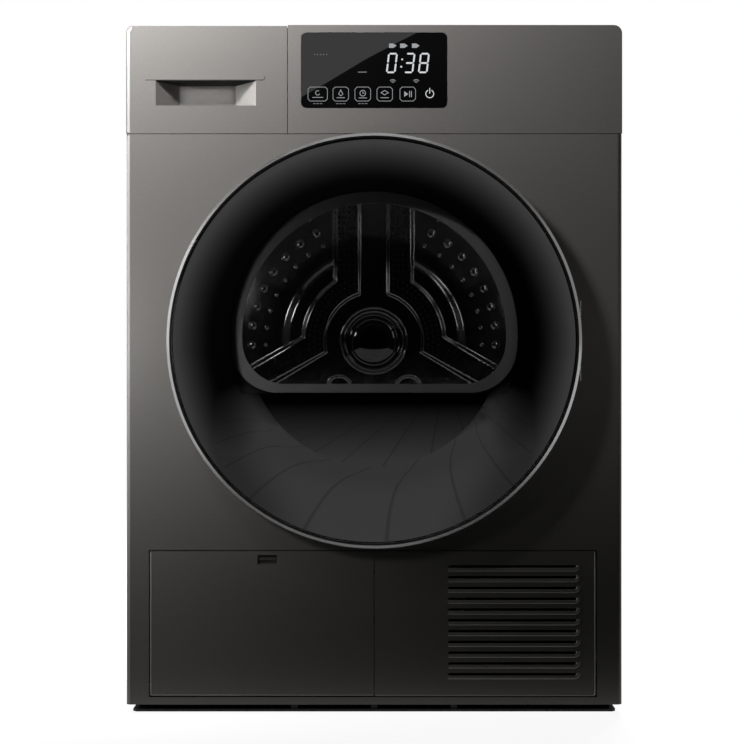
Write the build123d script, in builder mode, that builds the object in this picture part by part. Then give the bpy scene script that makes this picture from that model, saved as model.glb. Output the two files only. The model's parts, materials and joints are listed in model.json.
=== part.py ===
from build123d import *
import os
from math import atan2, cos, degrees, hypot, radians, sin, sqrt

os.makedirs("parts", exist_ok=True)

# A free-standing heat-pump clothes dryer with a round glass door.
# Millimetres. Origin on the floor under the middle of the machine; the door faces -Y.

# ---- Driving dimensions: cabinet ----
width = 596.0             # side to side
height = 828.0            # floor to worktop, feet screwed fully in
cab_front_y = -290.0      # front face of the steel front
cab_back_y = 300.0        # back face of the rear panel
sheet = 1.0               # steel of the panels
moulding = 2.5            # wall of the plastic mouldings
seam = 0.8                # open line between neighbouring panels
slide_gap = 0.4           # clearance of everything that slides or swings
run_fit = 0.05            # radial clearance of a shaft in its bore
front_depth = 19.5        # how far the front panel and fascias wrap backwards
flange_width = 12.0       # turned-in edges of the side panels
front_edge_r = 6.0        # rounded upright edges of the front
worktop_height = 25.0
panel_bottom_z = 11.4     # lower edge of the steel panels
foot_inset_x = 39.0       # foot's axis, in from the cabinet's sides, front and back
foot_inset_front = 47.5
foot_inset_back = 50.0
foot_r = 20.0
foot_pad = 9.0            # height of the foot's pad
stem_r = 5.0              # foot's threaded stem
stem_top_z = 40.0
tray_z = 2.4              # underside of the base tray
tray_floor = 3.0
tray_wall = 3.0
tray_wall_top_z = 40.0
tray_lip_inset = 7.5      # the tray's lip shows under the front
tray_wall_inset = 13.0    # tray walls stand inside the side panels' flanges

# ---- Driving dimensions: control strip and water drawer ----
strip_height = 130.4      # fascia, top to bottom
drawer_seam_x = -104.2
drawer_drop = 1.2         # the drawer front stands this much below the fascia
drawer_corner_r = 8.0
fascia_corner_r = 10.0
display_x = 175.2
display_z = 90.2
display_top_drop = 9.4
display_corner_r = 6.5
display_glass = 2.0
recess_width = 120.5      # handle recess, at the face
recess_height = 30.9
recess_top_drop = 65.9
recess_floor_width = 68.0   # handle recess, at its back wall
recess_depth = 24.0
tank_side_gap = 13.4      # tank to the cabinet's side and to the drawer front's seam
tank_seam_gap = 11.8
tank_lift = 24.0          # tank's floor above the drawer front's lower edge
tank_roof_gap = 7.0
tank_back_y = 165.0
tank_wall = 2.5
fill_hole_r = 18.0

# ---- Driving dimensions: door ----
door_z = 448.3            # axis of the door, throat and glass
ring_r = 247.5
ring_width = 6.3
ring_stand_off = 24.0     # ring's front face, out from the steel front
door_gap = 2.4            # door's back face, out from the steel front
lens_fit = 0.5
lens_stand_off = 30.0     # middle of the glass, out from the steel front
lens_crown = 13.0         # depth of the glass from its middle to its seat
lens_flat_r = 150.0
lens_glass = 4.0
lens_ledge = 12.0         # width of the ledge that the glass sits on
window_rise = 6.9         # centre of the D-shaped window above the door's axis
window_inset = 76.5       # window's edge, in from the ring's edge
window_drop = 68.9        # flat bottom of the window below its centre
window_corner_r = 55.0
bezel_band = 13.5
bezel_depth = 2.5
bowl_depth = 85.0         # how far the bowl reaches behind the steel front
bowl_taper = 43.0         # how much narrower the bowl's back is than the window
bowl_glass = 4.0
throat_inset = 47.5       # throat, in from the ring's edge
throat_wall = 3.0
plug_fit = 4.0            # door frame's plug inside the throat
plug_depth = 13.0
plug_lip = 18.0
seal_width = 3.2
hinge_inset = 4.0         # hinge axis, in from the ring's edge
hinge_stand_off = 12.5    # hinge axis, out from the steel front
hinge_barrel_r = 4.0
hinge_pin_r = 2.5
hinge_half = 48.0         # half height of the hinge bracket's barrels
hinge_plate_half = 58.0
leaf_half = 30.0          # half height of the door's own hinge leaf
leaf_thick = 3.0
latch_offset = 12.0       # latch hook, outside the throat
latch_half = 8.0
grip_half = 70.0          # half height of the finger relief behind the ring
grip_reach = 23.5

# ---- Driving dimensions: drum and its drive ----
drum_rise = 8.7           # drum's axis above the door's axis
drum_r = 281.0
drum_sheet = 1.0
rim_step = 5.0            # the rims are rolled this much smaller
rim_length = 13.0
drum_shaft_r = 12.0
bearing_r = 26.0
lifter_height = 44.0
lifter_half_width = 34.0
spoke_half_width = 57.0
spoke_channel = 20.6
star_height = 9.0
hub_r = 70.0
hub_cap_r = 44.0
felt_width = 10.0
bulkhead_sheet = 3.0
bulkhead_bottom_z = 172.0
front_bulkhead_inset = 40.0   # bulkheads, in from the cabinet's front and back
rear_bulkhead_inset = 40.0
front_rim_gap = 5.0       # drum's rims to the bulkheads
rear_rim_gap = 25.0
roller_angle = 38.0       # each side of straight down
roller_r = 35.0
roller_width = 20.0
roller_axle_r = 6.0
motor_x = 110.0
motor_z = 105.0
motor_r = 52.0
motor_front_y = -40.0
motor_back_y = 80.0
motor_shaft_r = 7.0
pulley_r = 10.0
belt_y = -60.0
belt_width = 12.0
belt_thick = 1.6
belt_gap = 0.3
idler_r = 15.0
idler_along = 0.72        # place of the idler along the belt's slack run
idler_axle_r = 4.0
arm_pivot_x = 80.0
arm_pivot_z = 72.0
arm_pin_r = 5.0
fan_r = 74.0
fan_blades = 24
scroll_r = 85.0
scroll_depth = 53.0
scroll_wall = 3.0

# ---- Driving dimensions: lower front, filter and heat pump ----
kick_inset_left = 28.6    # flap and grille together
kick_inset_right = 31.5
kick_z0 = 21.6
kick_height = 174.3
kick_gap = 1.2            # line round the flap and the grille
flap_skin = 2.5
flap_rib = 8.0
flap_axis_inset = 6.0     # flap's hinge, in from its lower front edge
flap_pin_r = 2.0
notch_inset = 129.4       # finger notch, from the flap's left end
notch_width = 23.2
notch_height = 11.0
notch_top_drop = 4.9
louvre_count = 11
louvre_length = 156.0
louvre_inset = 21.5       # from the grille's right end
louvre_top_drop = 18.9
louvre_pitch = 12.94
louvre_slot = 3.6
louvre_lip = 1.6
filter_half_x = 86.4
filter_depth = 21.0
filter_z0 = 190.0
filter_fit = 0.6
filter_wall = 1.6
pouch_wall = 2.0
cover_x0 = -230.0         # heat-pump tunnel
cover_x1 = -60.0
cover_top_z = 163.0
cover_length = 370.0
tunnel_wall = 2.0
cover_plate = 4.0
lever_x = -120.0
lever_z = 110.0
lever_pin_r = 4.0
compressor_x = 215.0
compressor_y = 60.0
compressor_r = 52.0
compressor_top_z = 195.0
pump_x = -30.0
pump_y = 180.0
hose_r = 7.0
hose_wall = 2.0
hose_low_z = 44.0
hose_bend_r = 24.0
duct_depth = 20.0         # how far the rear duct cover stands out
duct_r = 215.0
spigot_inset = 58.0
spigot_z = 120.0
spigot_r = 7.0
spigot_bore_r = 5.0
inlet_inset = 73.0
inlet_drop = 43.0
inlet_bore_r = 4.5
screw_head_r = 4.5
screw_shank_r = 1.9
screw_inset = 6.0
screw_rows = 5

# ---- Values that follow ----
half_w = width / 2
inner_x = half_w - sheet
flange_x = half_w - flange_width
foot_x = half_w - foot_inset_x
foot_front_y = cab_front_y + foot_inset_front
foot_back_y = cab_back_y - foot_inset_back
tray_wall_x = half_w - tray_wall_inset
tray_lip_x = half_w - tray_lip_inset
shell_back_y = cab_front_y + front_depth
side_front_y = shell_back_y + slide_gap
side_back_y = cab_back_y - sheet
skin_back_y = cab_front_y + sheet
worktop_z = height - worktop_height
strip_bottom_z = height - strip_height
front_top_z = strip_bottom_z - seam
tray_top_z = tray_z + tray_floor
tray_front_y = cab_front_y + 4
tray_back_y = cab_back_y - 4
tray_wall_front_y = side_front_y + 2

recess_x = (drawer_seam_x - half_w) / 2 - 1.2
recess_z1 = height - recess_top_drop
recess_z = recess_z1 - recess_height / 2
tank_x0 = -half_w + tank_side_gap
tank_x1 = drawer_seam_x - tank_seam_gap
tank_z0 = strip_bottom_z + tank_lift
tank_z1 = worktop_z - tank_roof_gap
rail_z = tank_z0 - slide_gap

ring_inner_r = ring_r - ring_width
ring_front_y = cab_front_y - ring_stand_off
door_back_y = cab_front_y - door_gap
lens_r = ring_inner_r - lens_fit
window_r = ring_r - window_inset
throat_r = ring_r - throat_inset
lens_crown_y = cab_front_y - lens_stand_off
lens_seat_y = lens_crown_y + lens_crown
frame_front_y = lens_seat_y + 3
frame_skin_back_y = frame_front_y + moulding
frame_r = ring_inner_r - slide_gap
window_z = door_z + window_rise
window_base_z = window_z - window_drop
bowl_back_y = cab_front_y + bowl_depth
bowl_back_r = window_r - bowl_taper
plug_r = throat_r - plug_fit
plug_back_y = cab_front_y + plug_depth
hinge_x = ring_r - hinge_inset
hinge_y = cab_front_y - hinge_stand_off
hinge_pocket_x = hinge_x - 38.5
grip_x = -ring_r + grip_reach
latch_x = -throat_r - latch_offset

drum_z = door_z + drum_rise
drum_rim_r = drum_r - rim_step
front_bulkhead_y = cab_front_y + front_bulkhead_inset
bulk_front_y = front_bulkhead_y - bulkhead_sheet
rear_bulkhead_y = cab_back_y - rear_bulkhead_inset
drum_front_y = front_bulkhead_y + front_rim_gap
drum_back_y = rear_bulkhead_y - rear_rim_gap
drum_wall_y = drum_back_y - rim_length + 3
roller_reach = drum_r + roller_r + belt_gap
roller_dx = roller_reach * sin(radians(roller_angle))
roller_z = drum_z - roller_reach * cos(radians(roller_angle))
roller_y = drum_front_y + 30
scroll_back_y = cab_back_y - 32
scroll_front_y = scroll_back_y - scroll_depth
drum_axis = Axis((0, 0, drum_z), (0, 1, 0))
door_axis = Axis((0, 0, door_z), (0, 1, 0))
drum_plane = Plane(origin=(0, 0, drum_z), x_dir=(0, 1, 0), z_dir=(1, 0, 0))
door_plane = Plane(origin=(0, 0, door_z), x_dir=(0, 1, 0), z_dir=(1, 0, 0))

kick_x0 = -half_w + kick_inset_left
kick_x1 = half_w - kick_inset_right
kick_z1 = kick_z0 + kick_height
flap_axis_y = cab_front_y + flap_axis_inset
flap_axis_z = kick_z0 + flap_axis_inset
notch_x0 = kick_x0 + notch_inset
notch_x1 = notch_x0 + notch_width
notch_z1 = kick_z1 - notch_top_drop
notch_z0 = notch_z1 - notch_height
louvre_x1 = kick_x1 - louvre_inset
louvre_x0 = louvre_x1 - louvre_length
louvre_mid_x = (louvre_x0 + louvre_x1) / 2
louvre_top_z = kick_z1 - louvre_top_drop
cover_front_y = front_bulkhead_y
cover_back_y = cover_front_y + cover_length
cover_plate_y = cover_front_y - cover_plate
pouch_back_y = bulk_front_y
pouch_front_y = pouch_back_y - filter_depth - 2 * filter_fit - pouch_wall
spigot_x = -half_w + spigot_inset
inlet_x = half_w - inlet_inset
inlet_z = worktop_z - inlet_drop
screw_pitch = (worktop_z - 63) / (screw_rows - 1)
screw_points = [(side * (half_w - screw_inset), 40 + row * screw_pitch)
                for side in (-1, 1) for row in range(screw_rows)]


# ---- Shapes used over and over ----
def block(x0, x1, y0, y1, z0, z1, mode=Mode.ADD):
    """A box between two corners."""
    with Locations(((x0 + x1) / 2, (y0 + y1) / 2, (z0 + z1) / 2)):
        Box(abs(x1 - x0), abs(y1 - y0), abs(z1 - z0), mode=mode)


def rod_x(radius, x0, x1, y, z, mode=Mode.ADD):
    """A cylinder along X."""
    with Locations(Location(((x0 + x1) / 2, y, z), (0, 90, 0))):
        Cylinder(radius, abs(x1 - x0), mode=mode)


def rod_y(radius, y0, y1, x, z, mode=Mode.ADD):
    """A cylinder along Y."""
    with Locations(Location((x, (y0 + y1) / 2, z), (90, 0, 0))):
        Cylinder(radius, abs(y1 - y0), mode=mode)


def rod_z(radius, z0, z1, x, y, mode=Mode.ADD):
    """A cylinder along Z."""
    with Locations((x, y, (z0 + z1) / 2)):
        Cylinder(radius, abs(z1 - z0), mode=mode)


def window_outline(y, radius, base_z):
    """The D shape of the window: a circle with a flat, round-cornered bottom."""
    with BuildSketch(Plane.XZ.offset(-y)) as outline:
        with Locations((0, window_z)):
            Circle(radius)
        with Locations((0, base_z - radius)):
            Rectangle(3 * radius, 2 * radius, mode=Mode.SUBTRACT)
        corners = outline.vertices().group_by(Axis.Z)[0]
        fillet(corners, window_corner_r * radius / window_r)
    return outline.sketch


def ring_section(plane, axis, points):
    """A ring turned about an axis from a closed outline of (depth, radius) points."""
    with BuildSketch(plane) as section:
        with BuildLine():
            Polyline(*points, close=True)
        make_face()
    revolve(section.sketch, axis)


# ---- Cabinet ----
for side, name in ((-1, "side_panel_left"), (1, "side_panel_right")):
    with BuildPart() as side_panel:
        block(side * half_w, side * inner_x, side_front_y, side_back_y, panel_bottom_z, worktop_z)
        for y0 in (side_front_y, side_back_y - sheet):
            block(side * half_w, side * flange_x, y0, y0 + sheet, panel_bottom_z, worktop_z)
        for z0 in (panel_bottom_z, worktop_z - sheet):
            block(side * half_w, side * flange_x, side_front_y, side_back_y, z0, z0 + sheet)
        for x, z in screw_points:
            rod_y(screw_shank_r + 0.2, side_back_y - 2, side_back_y + 1, x, z, mode=Mode.SUBTRACT)
        # Two long pressed beads keep the sheet from drumming.
        for z in (250.0, 560.0):
            block(side * inner_x, side * (inner_x - 2), side_front_y + 60, side_back_y - 60, z, z + 14)
    side_panel.part.label = name
    export_step(side_panel.part, f"parts/{name}.step")

with BuildPart() as worktop:
    block(-half_w, half_w, side_front_y, cab_back_y, worktop_z, height)
    fillet(worktop.edges().filter_by(Axis.Y).group_by(Axis.Z)[-1], fascia_corner_r)
    offset(amount=-moulding, openings=worktop.faces().sort_by(Axis.Z)[0])
    # Locating ribs drop between the side panels' top flanges.
    for side in (-1, 1):
        rib_x = side * (flange_x - slide_gap)
        block(rib_x, rib_x - side * moulding, side_front_y + 30, cab_back_y - 30,
              worktop_z - 4, height - moulding)
worktop.part.label = "worktop"
export_step(worktop.part, "parts/worktop.step")

with BuildPart() as front_panel:
    block(-half_w, half_w, cab_front_y, shell_back_y, panel_bottom_z, front_top_z)
    fillet(front_panel.edges().filter_by(Axis.Z).group_by(Axis.Y)[0], front_edge_r)
    offset(amount=-sheet, openings=front_panel.faces().sort_by(Axis.Y)[-1])
    # Round loading opening, the opening of the flap and grille, and the latch slot.
    rod_y(throat_r, cab_front_y - 1, skin_back_y + 1, 0, door_z, mode=Mode.SUBTRACT)
    block(kick_x0 - kick_gap, kick_x1 + kick_gap, cab_front_y - 1, skin_back_y + 1,
          kick_z0 - kick_gap, kick_z1 + kick_gap, mode=Mode.SUBTRACT)
    block(latch_x - 8, latch_x + 7, cab_front_y - 1, skin_back_y + 1,
          door_z - latch_half - 4, door_z + latch_half + 4, mode=Mode.SUBTRACT)
    # Ear for the flap's hinge pin.
    block(kick_x0 - kick_gap - 4, kick_x0 - kick_gap, skin_back_y, flap_axis_y + 6,
          flap_axis_z - 5, flap_axis_z + 6)
    rod_x(flap_pin_r + run_fit, kick_x0 - 10, kick_x0, flap_axis_y, flap_axis_z, mode=Mode.SUBTRACT)
front_panel.part.label = "front_panel"
export_step(front_panel.part, "parts/front_panel.step")

with BuildPart() as rear_panel:
    block(-half_w, half_w, side_back_y, cab_back_y, panel_bottom_z, worktop_z)
    # Air slots inside the duct cover, and the passage from the fan.
    with Locations(Location((0, (side_back_y + cab_back_y) / 2, drum_z), (90, 0, 0))):
        with PolarLocations(duct_r * 0.6, 12):
            Box(90, 14, 4 * sheet, mode=Mode.SUBTRACT)
    block(motor_x - 46, motor_x + 46, side_back_y - 1, cab_back_y + 1, motor_z + 20, motor_z + 74,
          mode=Mode.SUBTRACT)
    rod_y(spigot_r, side_back_y - 1, cab_back_y + 1, spigot_x, spigot_z, mode=Mode.SUBTRACT)
    rod_y(inlet_bore_r + 4, side_back_y - 1, cab_back_y + 1, inlet_x, inlet_z, mode=Mode.SUBTRACT)
    for x, z in screw_points:
        rod_y(screw_shank_r + 0.2, side_back_y - 1, cab_back_y + 1, x, z, mode=Mode.SUBTRACT)
rear_panel.part.label = "rear_panel"
export_step(rear_panel.part, "parts/rear_panel.step")

with BuildPart() as panel_screws:
    for x, z in screw_points:
        rod_y(screw_head_r, cab_back_y, cab_back_y + 2.5, x, z)
        rod_y(screw_shank_r, side_back_y - 4, cab_back_y, x, z)
        block(x - 3, x + 3, cab_back_y + 1.6, cab_back_y + 3, z - 0.6, z + 0.6, mode=Mode.SUBTRACT)
panel_screws.part.label = "panel_screws"
export_step(panel_screws.part, "parts/panel_screws.step")

with BuildPart() as rear_duct_cover:
    duct_back_y = cab_back_y + duct_depth
    rod_y(duct_r, cab_back_y, duct_back_y, 0, drum_z)
    block(motor_x - 60, motor_x + 60, cab_back_y, duct_back_y, motor_z, drum_z - 60)
    rod_y(duct_r - 2, cab_back_y, duct_back_y - 2, 0, drum_z, mode=Mode.SUBTRACT)
    block(motor_x - 58, motor_x + 58, cab_back_y, duct_back_y - 2, motor_z + 2, drum_z - 58,
          mode=Mode.SUBTRACT)
    # Stiffening ring pressed into the cover's back.
    rod_y(duct_r - 60, duct_back_y - 2, duct_back_y - 1, 0, drum_z, mode=Mode.SUBTRACT)
    # Fixing lugs on the rear panel.
    with Locations(Location((0, cab_back_y + 1, drum_z), (90, 0, 0))):
        with PolarLocations(duct_r + 5, 6, start_angle=30):
            Box(20, 16, 2)
rear_duct_cover.part.label = "rear_duct_cover"
export_step(rear_duct_cover.part, "parts/rear_duct_cover.step")

with BuildPart() as base_tray:
    block(-tray_lip_x, tray_lip_x, tray_front_y, tray_back_y, tray_z, tray_top_z)
    chamfer(base_tray.edges().filter_by(Axis.Z), 4)
    block(-tray_wall_x, tray_wall_x, tray_wall_front_y, tray_back_y, tray_z, tray_wall_top_z)
    block(-tray_wall_x + tray_wall, tray_wall_x - tray_wall,
          tray_wall_front_y + tray_wall, tray_back_y - tray_wall,
          tray_top_z, tray_wall_top_z + 1, mode=Mode.SUBTRACT)
    # Posts carry the front panel and the side panels' flanges.
    for x in (-96.0, 0.0, 96.0):
        block(x - 4, x + 4, tray_front_y + 2, tray_front_y + 10, tray_top_z, panel_bottom_z)
    for side in (-1, 1):
        for y in (-150.0, 0.0, 150.0):
            block(side * tray_wall_x, side * (tray_lip_x - 1), y - 6, y + 6, tray_z, panel_bottom_z)
    # Cups for the screw feet.
    for x in (-foot_x, foot_x):
        for y in (foot_front_y, foot_back_y):
            rod_z(foot_r + 6, tray_z, foot_pad + 7, x, y)
            rod_z(9, tray_z, foot_pad + 18, x, y)
            rod_z(foot_r + 3, tray_z - 1, foot_pad + 3, x, y, mode=Mode.SUBTRACT)
            rod_z(stem_r + run_fit, tray_z, foot_pad + 30, x, y, mode=Mode.SUBTRACT)
base_tray.part.label = "base_tray"
export_step(base_tray.part, "parts/base_tray.step")

foot_places = (("foot_front_left", -foot_x, foot_front_y), ("foot_front_right", foot_x, foot_front_y),
               ("foot_rear_left", -foot_x, foot_back_y), ("foot_rear_right", foot_x, foot_back_y))
for name, x, y in foot_places:
    with BuildPart() as foot:
        rod_z(foot_r, 0, foot_pad, x, y)
        chamfer(foot.edges().group_by(Axis.Z)[0], 1.5)
        rod_z(stem_r, foot_pad, stem_top_z, x, y)
    foot.part.label = name
    export_step(foot.part, f"parts/{name}.step")

# ---- Control strip ----
display_top_z = height - display_top_drop
display_bottom_z = display_top_z - display_z
with BuildPart() as control_fascia:
    fascia_x0 = drawer_seam_x + seam / 2
    block(fascia_x0, half_w, cab_front_y, shell_back_y, strip_bottom_z, height)
    fillet(control_fascia.edges().filter_by(Axis.Y).group_by(Axis.Z)[-1].sort_by(Axis.X)[-1],
           fascia_corner_r)
    offset(amount=-moulding, openings=control_fascia.faces().sort_by(Axis.Y)[-1])
    with BuildSketch(Plane.XZ.offset(-cab_front_y + 1)) as display_hole:
        with Locations((0, display_bottom_z + display_z / 2)):
            RectangleRounded(display_x + seam, display_z + seam, display_corner_r + seam / 2)
    extrude(amount=-moulding - 2, mode=Mode.SUBTRACT)
    # Ledge behind the display glass.
    ledge_y = cab_front_y + display_glass + slide_gap
    block(-display_x / 2 - 3, display_x / 2 + 3, ledge_y, ledge_y + 2,
          display_bottom_z - 3, display_top_z + 3)
    block(-display_x / 2 + 6, display_x / 2 - 6, ledge_y - 1, ledge_y + 3,
          display_bottom_z + 6, display_top_z - 6, mode=Mode.SUBTRACT)
control_fascia.part.label = "control_fascia"
export_step(control_fascia.part, "parts/control_fascia.step")

with BuildPart() as display_window:
    with BuildSketch(Plane.XZ.offset(-ledge_y)):
        with Locations((0, display_bottom_z + display_z / 2)):
            RectangleRounded(display_x, display_z, display_corner_r)
    extrude(amount=display_glass)
display_window.part.label = "display_window"
export_step(display_window.part, "parts/display_window.step")

with BuildPart() as control_board:
    board_y = ledge_y + 8
    board_half = display_x / 2 - 3.6
    block(-board_half, board_half, board_y, board_y + 1.6, display_bottom_z + 2, display_top_z - 8)
    # Spacers stand on the display ledge; a light box and parts fill the board.
    for x in (-display_x / 2 + 7, display_x / 2 - 7):
        for z in (display_bottom_z + 5, display_top_z - 10):
            rod_y(3, ledge_y + 2, board_y, x, z)
    block(10, 62, ledge_y + 2.5, board_y, display_bottom_z + 27.6, display_bottom_z + 71.6)
    for x, rise, size in ((-50, 21.6, 14), (-20, 41.6, 18), (-60, 56.6, 9), (70, 16.6, 11)):
        z = display_bottom_z + rise
        block(x - size / 2, x + size / 2, board_y + 1.6, board_y + 6, z - size / 2, z + size / 2)
control_board.part.label = "control_board"
export_step(control_board.part, "parts/control_board.step")

# ---- Water drawer ----
drawer_x1 = drawer_seam_x - seam / 2
drawer_top_z = height - drawer_drop
tank_front_y = cab_front_y + recess_depth + 2 + slide_gap
with BuildPart() as tank_front:
    block(-half_w, drawer_x1, cab_front_y, shell_back_y, strip_bottom_z, drawer_top_z)
    fillet(tank_front.edges().filter_by(Axis.Y).group_by(Axis.Z)[-1].sort_by(Axis.X)[0],
           drawer_corner_r)
    offset(amount=-moulding, openings=tank_front.faces().sort_by(Axis.Y)[-1])
    # Handle recess: a scoop that narrows towards its back wall.
    for wall, mode in ((2.0, Mode.ADD), (0.0, Mode.SUBTRACT)):
        back_y = cab_front_y + recess_depth + wall
        with BuildSketch(Plane.XZ.offset(-cab_front_y)) as mouth:
            with Locations((recess_x, recess_z)):
                Rectangle(recess_width + 2 * wall, recess_height + 2 * wall)
        with BuildSketch(Plane.XZ.offset(-back_y)) as scoop_back:
            with Locations((recess_x, recess_z)):
                Rectangle(recess_floor_width + 2 * wall, recess_height - 5 + 2 * wall)
        loft([mouth.sketch, scoop_back.sketch], mode=mode)
    # Posts that the tank is clipped to.
    for x in (tank_x0 + 8, tank_x1 - 8):
        for z in (tank_z0 + 7, tank_z1 - 9):
            rod_y(5, cab_front_y + 1, tank_front_y, x, z)
tank_front.part.label = "tank_front"
export_step(tank_front.part, "parts/tank_front.step")

with BuildPart() as tank_body:
    block(tank_x0, tank_x1, tank_front_y, tank_back_y, tank_z0, tank_z1)
    fillet(tank_body.edges().filter_by(Axis.Z), 6)
    block(tank_x0 + tank_wall, tank_x1 - tank_wall, tank_front_y + tank_wall, tank_back_y - tank_wall,
          tank_z0 + tank_wall, tank_z1 - tank_wall, mode=Mode.SUBTRACT)
    tank_mid_x = (tank_x0 + tank_x1) / 2
    rod_z(fill_hole_r, tank_z1 - tank_wall - 1, tank_z1 + 1, tank_mid_x, tank_back_y - 40,
          mode=Mode.SUBTRACT)
tank_body.part.label = "tank_body"
export_step(tank_body.part, "parts/tank_body.step")

with BuildPart() as tank_tray:
    rail_x = tank_x1 + slide_gap
    tank_tray_back_y = tank_back_y + 15
    block(-inner_x, rail_x + 2, side_front_y + sheet + 1, tank_tray_back_y, rail_z - 2, rail_z)
    block(rail_x, rail_x + 2, side_front_y + sheet + 1, tank_tray_back_y, rail_z - 2, rail_z + 20)
    block(tank_x0 - slide_gap - 1, tank_x0 - slide_gap, side_front_y + sheet + 1, tank_tray_back_y,
          rail_z - 2, rail_z + 20)
    block(-inner_x, rail_x + 2, tank_tray_back_y - 2, tank_tray_back_y, rail_z - 2, rail_z + 20)
    # Nozzle that the pump's hose ends on.
    rod_y(hose_r - hose_wall, tank_tray_back_y - 8, tank_tray_back_y + 12, spigot_x, rail_z + 12)
tank_tray.part.label = "tank_tray"
export_step(tank_tray.part, "parts/tank_tray.step")

# ---- Lower front: service flap and air grille ----
with BuildPart() as grille_panel:
    grille_x0 = seam / 2
    block(grille_x0, kick_x1, cab_front_y, cab_front_y + flap_skin, kick_z0, kick_z1)
    fillet(grille_panel.edges().filter_by(Axis.Y), 1.5)
    block(grille_x0 + 4, grille_x0 + 8, cab_front_y + 1, flap_axis_y + 5, kick_z0 + 1, flap_axis_z + 6)
    rod_x(flap_pin_r + run_fit, grille_x0, grille_x0 + 10, flap_axis_y, flap_axis_z, mode=Mode.SUBTRACT)
    for row in range(louvre_count):
        slot_z = louvre_top_z - row * louvre_pitch
        with BuildSketch(Plane.XZ.offset(-cab_front_y - flap_skin - 1)) as slot:
            with Locations((louvre_mid_x, slot_z)):
                SlotOverall(louvre_x1 - louvre_x0, louvre_slot)
        extrude(slot.sketch, amount=flap_skin + 2, mode=Mode.SUBTRACT)
        # Each slot has a lip under it, leaning inwards.
        block(louvre_x0 + 2, louvre_x1 - 2, cab_front_y + 0.4, cab_front_y + flap_skin + 4,
              slot_z - louvre_slot / 2 - louvre_lip, slot_z - louvre_slot / 2)
    # Clips that grip behind the steel front.
    clip_y = skin_back_y
    for z in (kick_z0 + 40, kick_z1 - 50):
        block(kick_x1 - 10, kick_x1 + 7, clip_y, clip_y + 2, z, z + 14)
        block(kick_x1 - 10, kick_x1 - 1, clip_y - 0.6, clip_y + 2, z, z + 14)
    for x in (60.0, 200.0):
        block(x, x + 14, clip_y, clip_y + 2, kick_z1 - 10, kick_z1 + 7)
grille_panel.part.label = "grille_panel"
export_step(grille_panel.part, "parts/grille_panel.step")

flap_x1 = -seam / 2
with BuildPart() as service_flap:
    block(kick_x0, flap_x1, cab_front_y, cab_front_y + flap_skin, kick_z0, kick_z1)
    fillet(service_flap.edges().filter_by(Axis.X).group_by(Axis.Z)[0].group_by(Axis.Y)[0], 2)
    # Stiffening rim behind the skin.
    for x in (kick_x0 + 3, flap_x1 - 5):
        block(x, x + 2, cab_front_y + 1, cab_front_y + flap_rib, kick_z0 + 14, kick_z1 - 3)
    for z in (kick_z0 + 14, kick_z1 - 5):
        block(kick_x0 + 3, notch_x0 - 4, cab_front_y + 1, cab_front_y + flap_rib, z, z + 2)
        block(notch_x1 + 4, flap_x1 - 3, cab_front_y + 1, cab_front_y + flap_rib, z, z + 2)
    # Finger notch, with the latch behind it.
    block(notch_x0, notch_x1, cab_front_y - 1, cab_front_y + flap_skin + 1, notch_z0, notch_z1,
          mode=Mode.SUBTRACT)
    for x in (notch_x0 - 3, notch_x1 + 0.6):
        block(x, x + 2.4, cab_front_y + 1, cab_front_y + flap_rib + 2, notch_z0 - 6, notch_z1 + 2)
    # Hinge lugs and the pins that stand out of them.
    for x0, pin_x0, pin_x1 in ((kick_x0 + 2, kick_x0 - kick_gap - 3.6, kick_x0 + 3),
                               (flap_x1 - 7, flap_x1 - 3, grille_x0 + 7.6)):
        block(x0, x0 + 5, cab_front_y + 1, flap_axis_y, flap_axis_z - 4, flap_axis_z + 4)
        rod_x(4, x0, x0 + 5, flap_axis_y, flap_axis_z)
        rod_x(flap_pin_r, pin_x0, pin_x1, flap_axis_y, flap_axis_z)
service_flap.part.label = "service_flap"
export_step(service_flap.part, "parts/service_flap.step")

with BuildPart() as flap_latch:
    catch_half = (notch_x1 - notch_x0) / 2 - slide_gap
    catch_mid_x = (notch_x0 + notch_x1) / 2
    slider_y0 = cab_front_y + flap_skin + slide_gap
    block(catch_mid_x - catch_half, catch_mid_x + catch_half, slider_y0, slider_y0 + 4,
          notch_z0 - 3, kick_z1 + 0.6)
    # Thumb bar across the notch.
    bar_z = (notch_z0 + notch_z1) / 2
    block(catch_mid_x - catch_half + 1, catch_mid_x + catch_half - 1, cab_front_y + 0.8, slider_y0 + 1,
          bar_z - 1, bar_z + 1.2)
flap_latch.part.label = "flap_latch"
export_step(flap_latch.part, "parts/flap_latch.step")

# ---- Heat pump in the base ----
with BuildPart() as base_cover:
    block(cover_x0, cover_x1, cover_front_y, cover_back_y, tray_top_z, cover_top_z)
    block(cover_x0 + tunnel_wall, cover_x1 - tunnel_wall, cover_front_y - 1, cover_back_y - tunnel_wall,
          tray_top_z - 1, cover_top_z - tunnel_wall, mode=Mode.SUBTRACT)
    # Two ribs across the roof.
    for y in (-120.0, 20.0):
        block(cover_x0, cover_x1, y, y + 3, cover_top_z, cover_top_z + 2)
    block(cover_x0 + 30, cover_x1 - 30, cover_back_y - tunnel_wall - 1, cover_back_y + 1, 40, 120,
          mode=Mode.SUBTRACT)
base_cover.part.label = "base_cover"
export_step(base_cover.part, "parts/base_cover.step")

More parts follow.
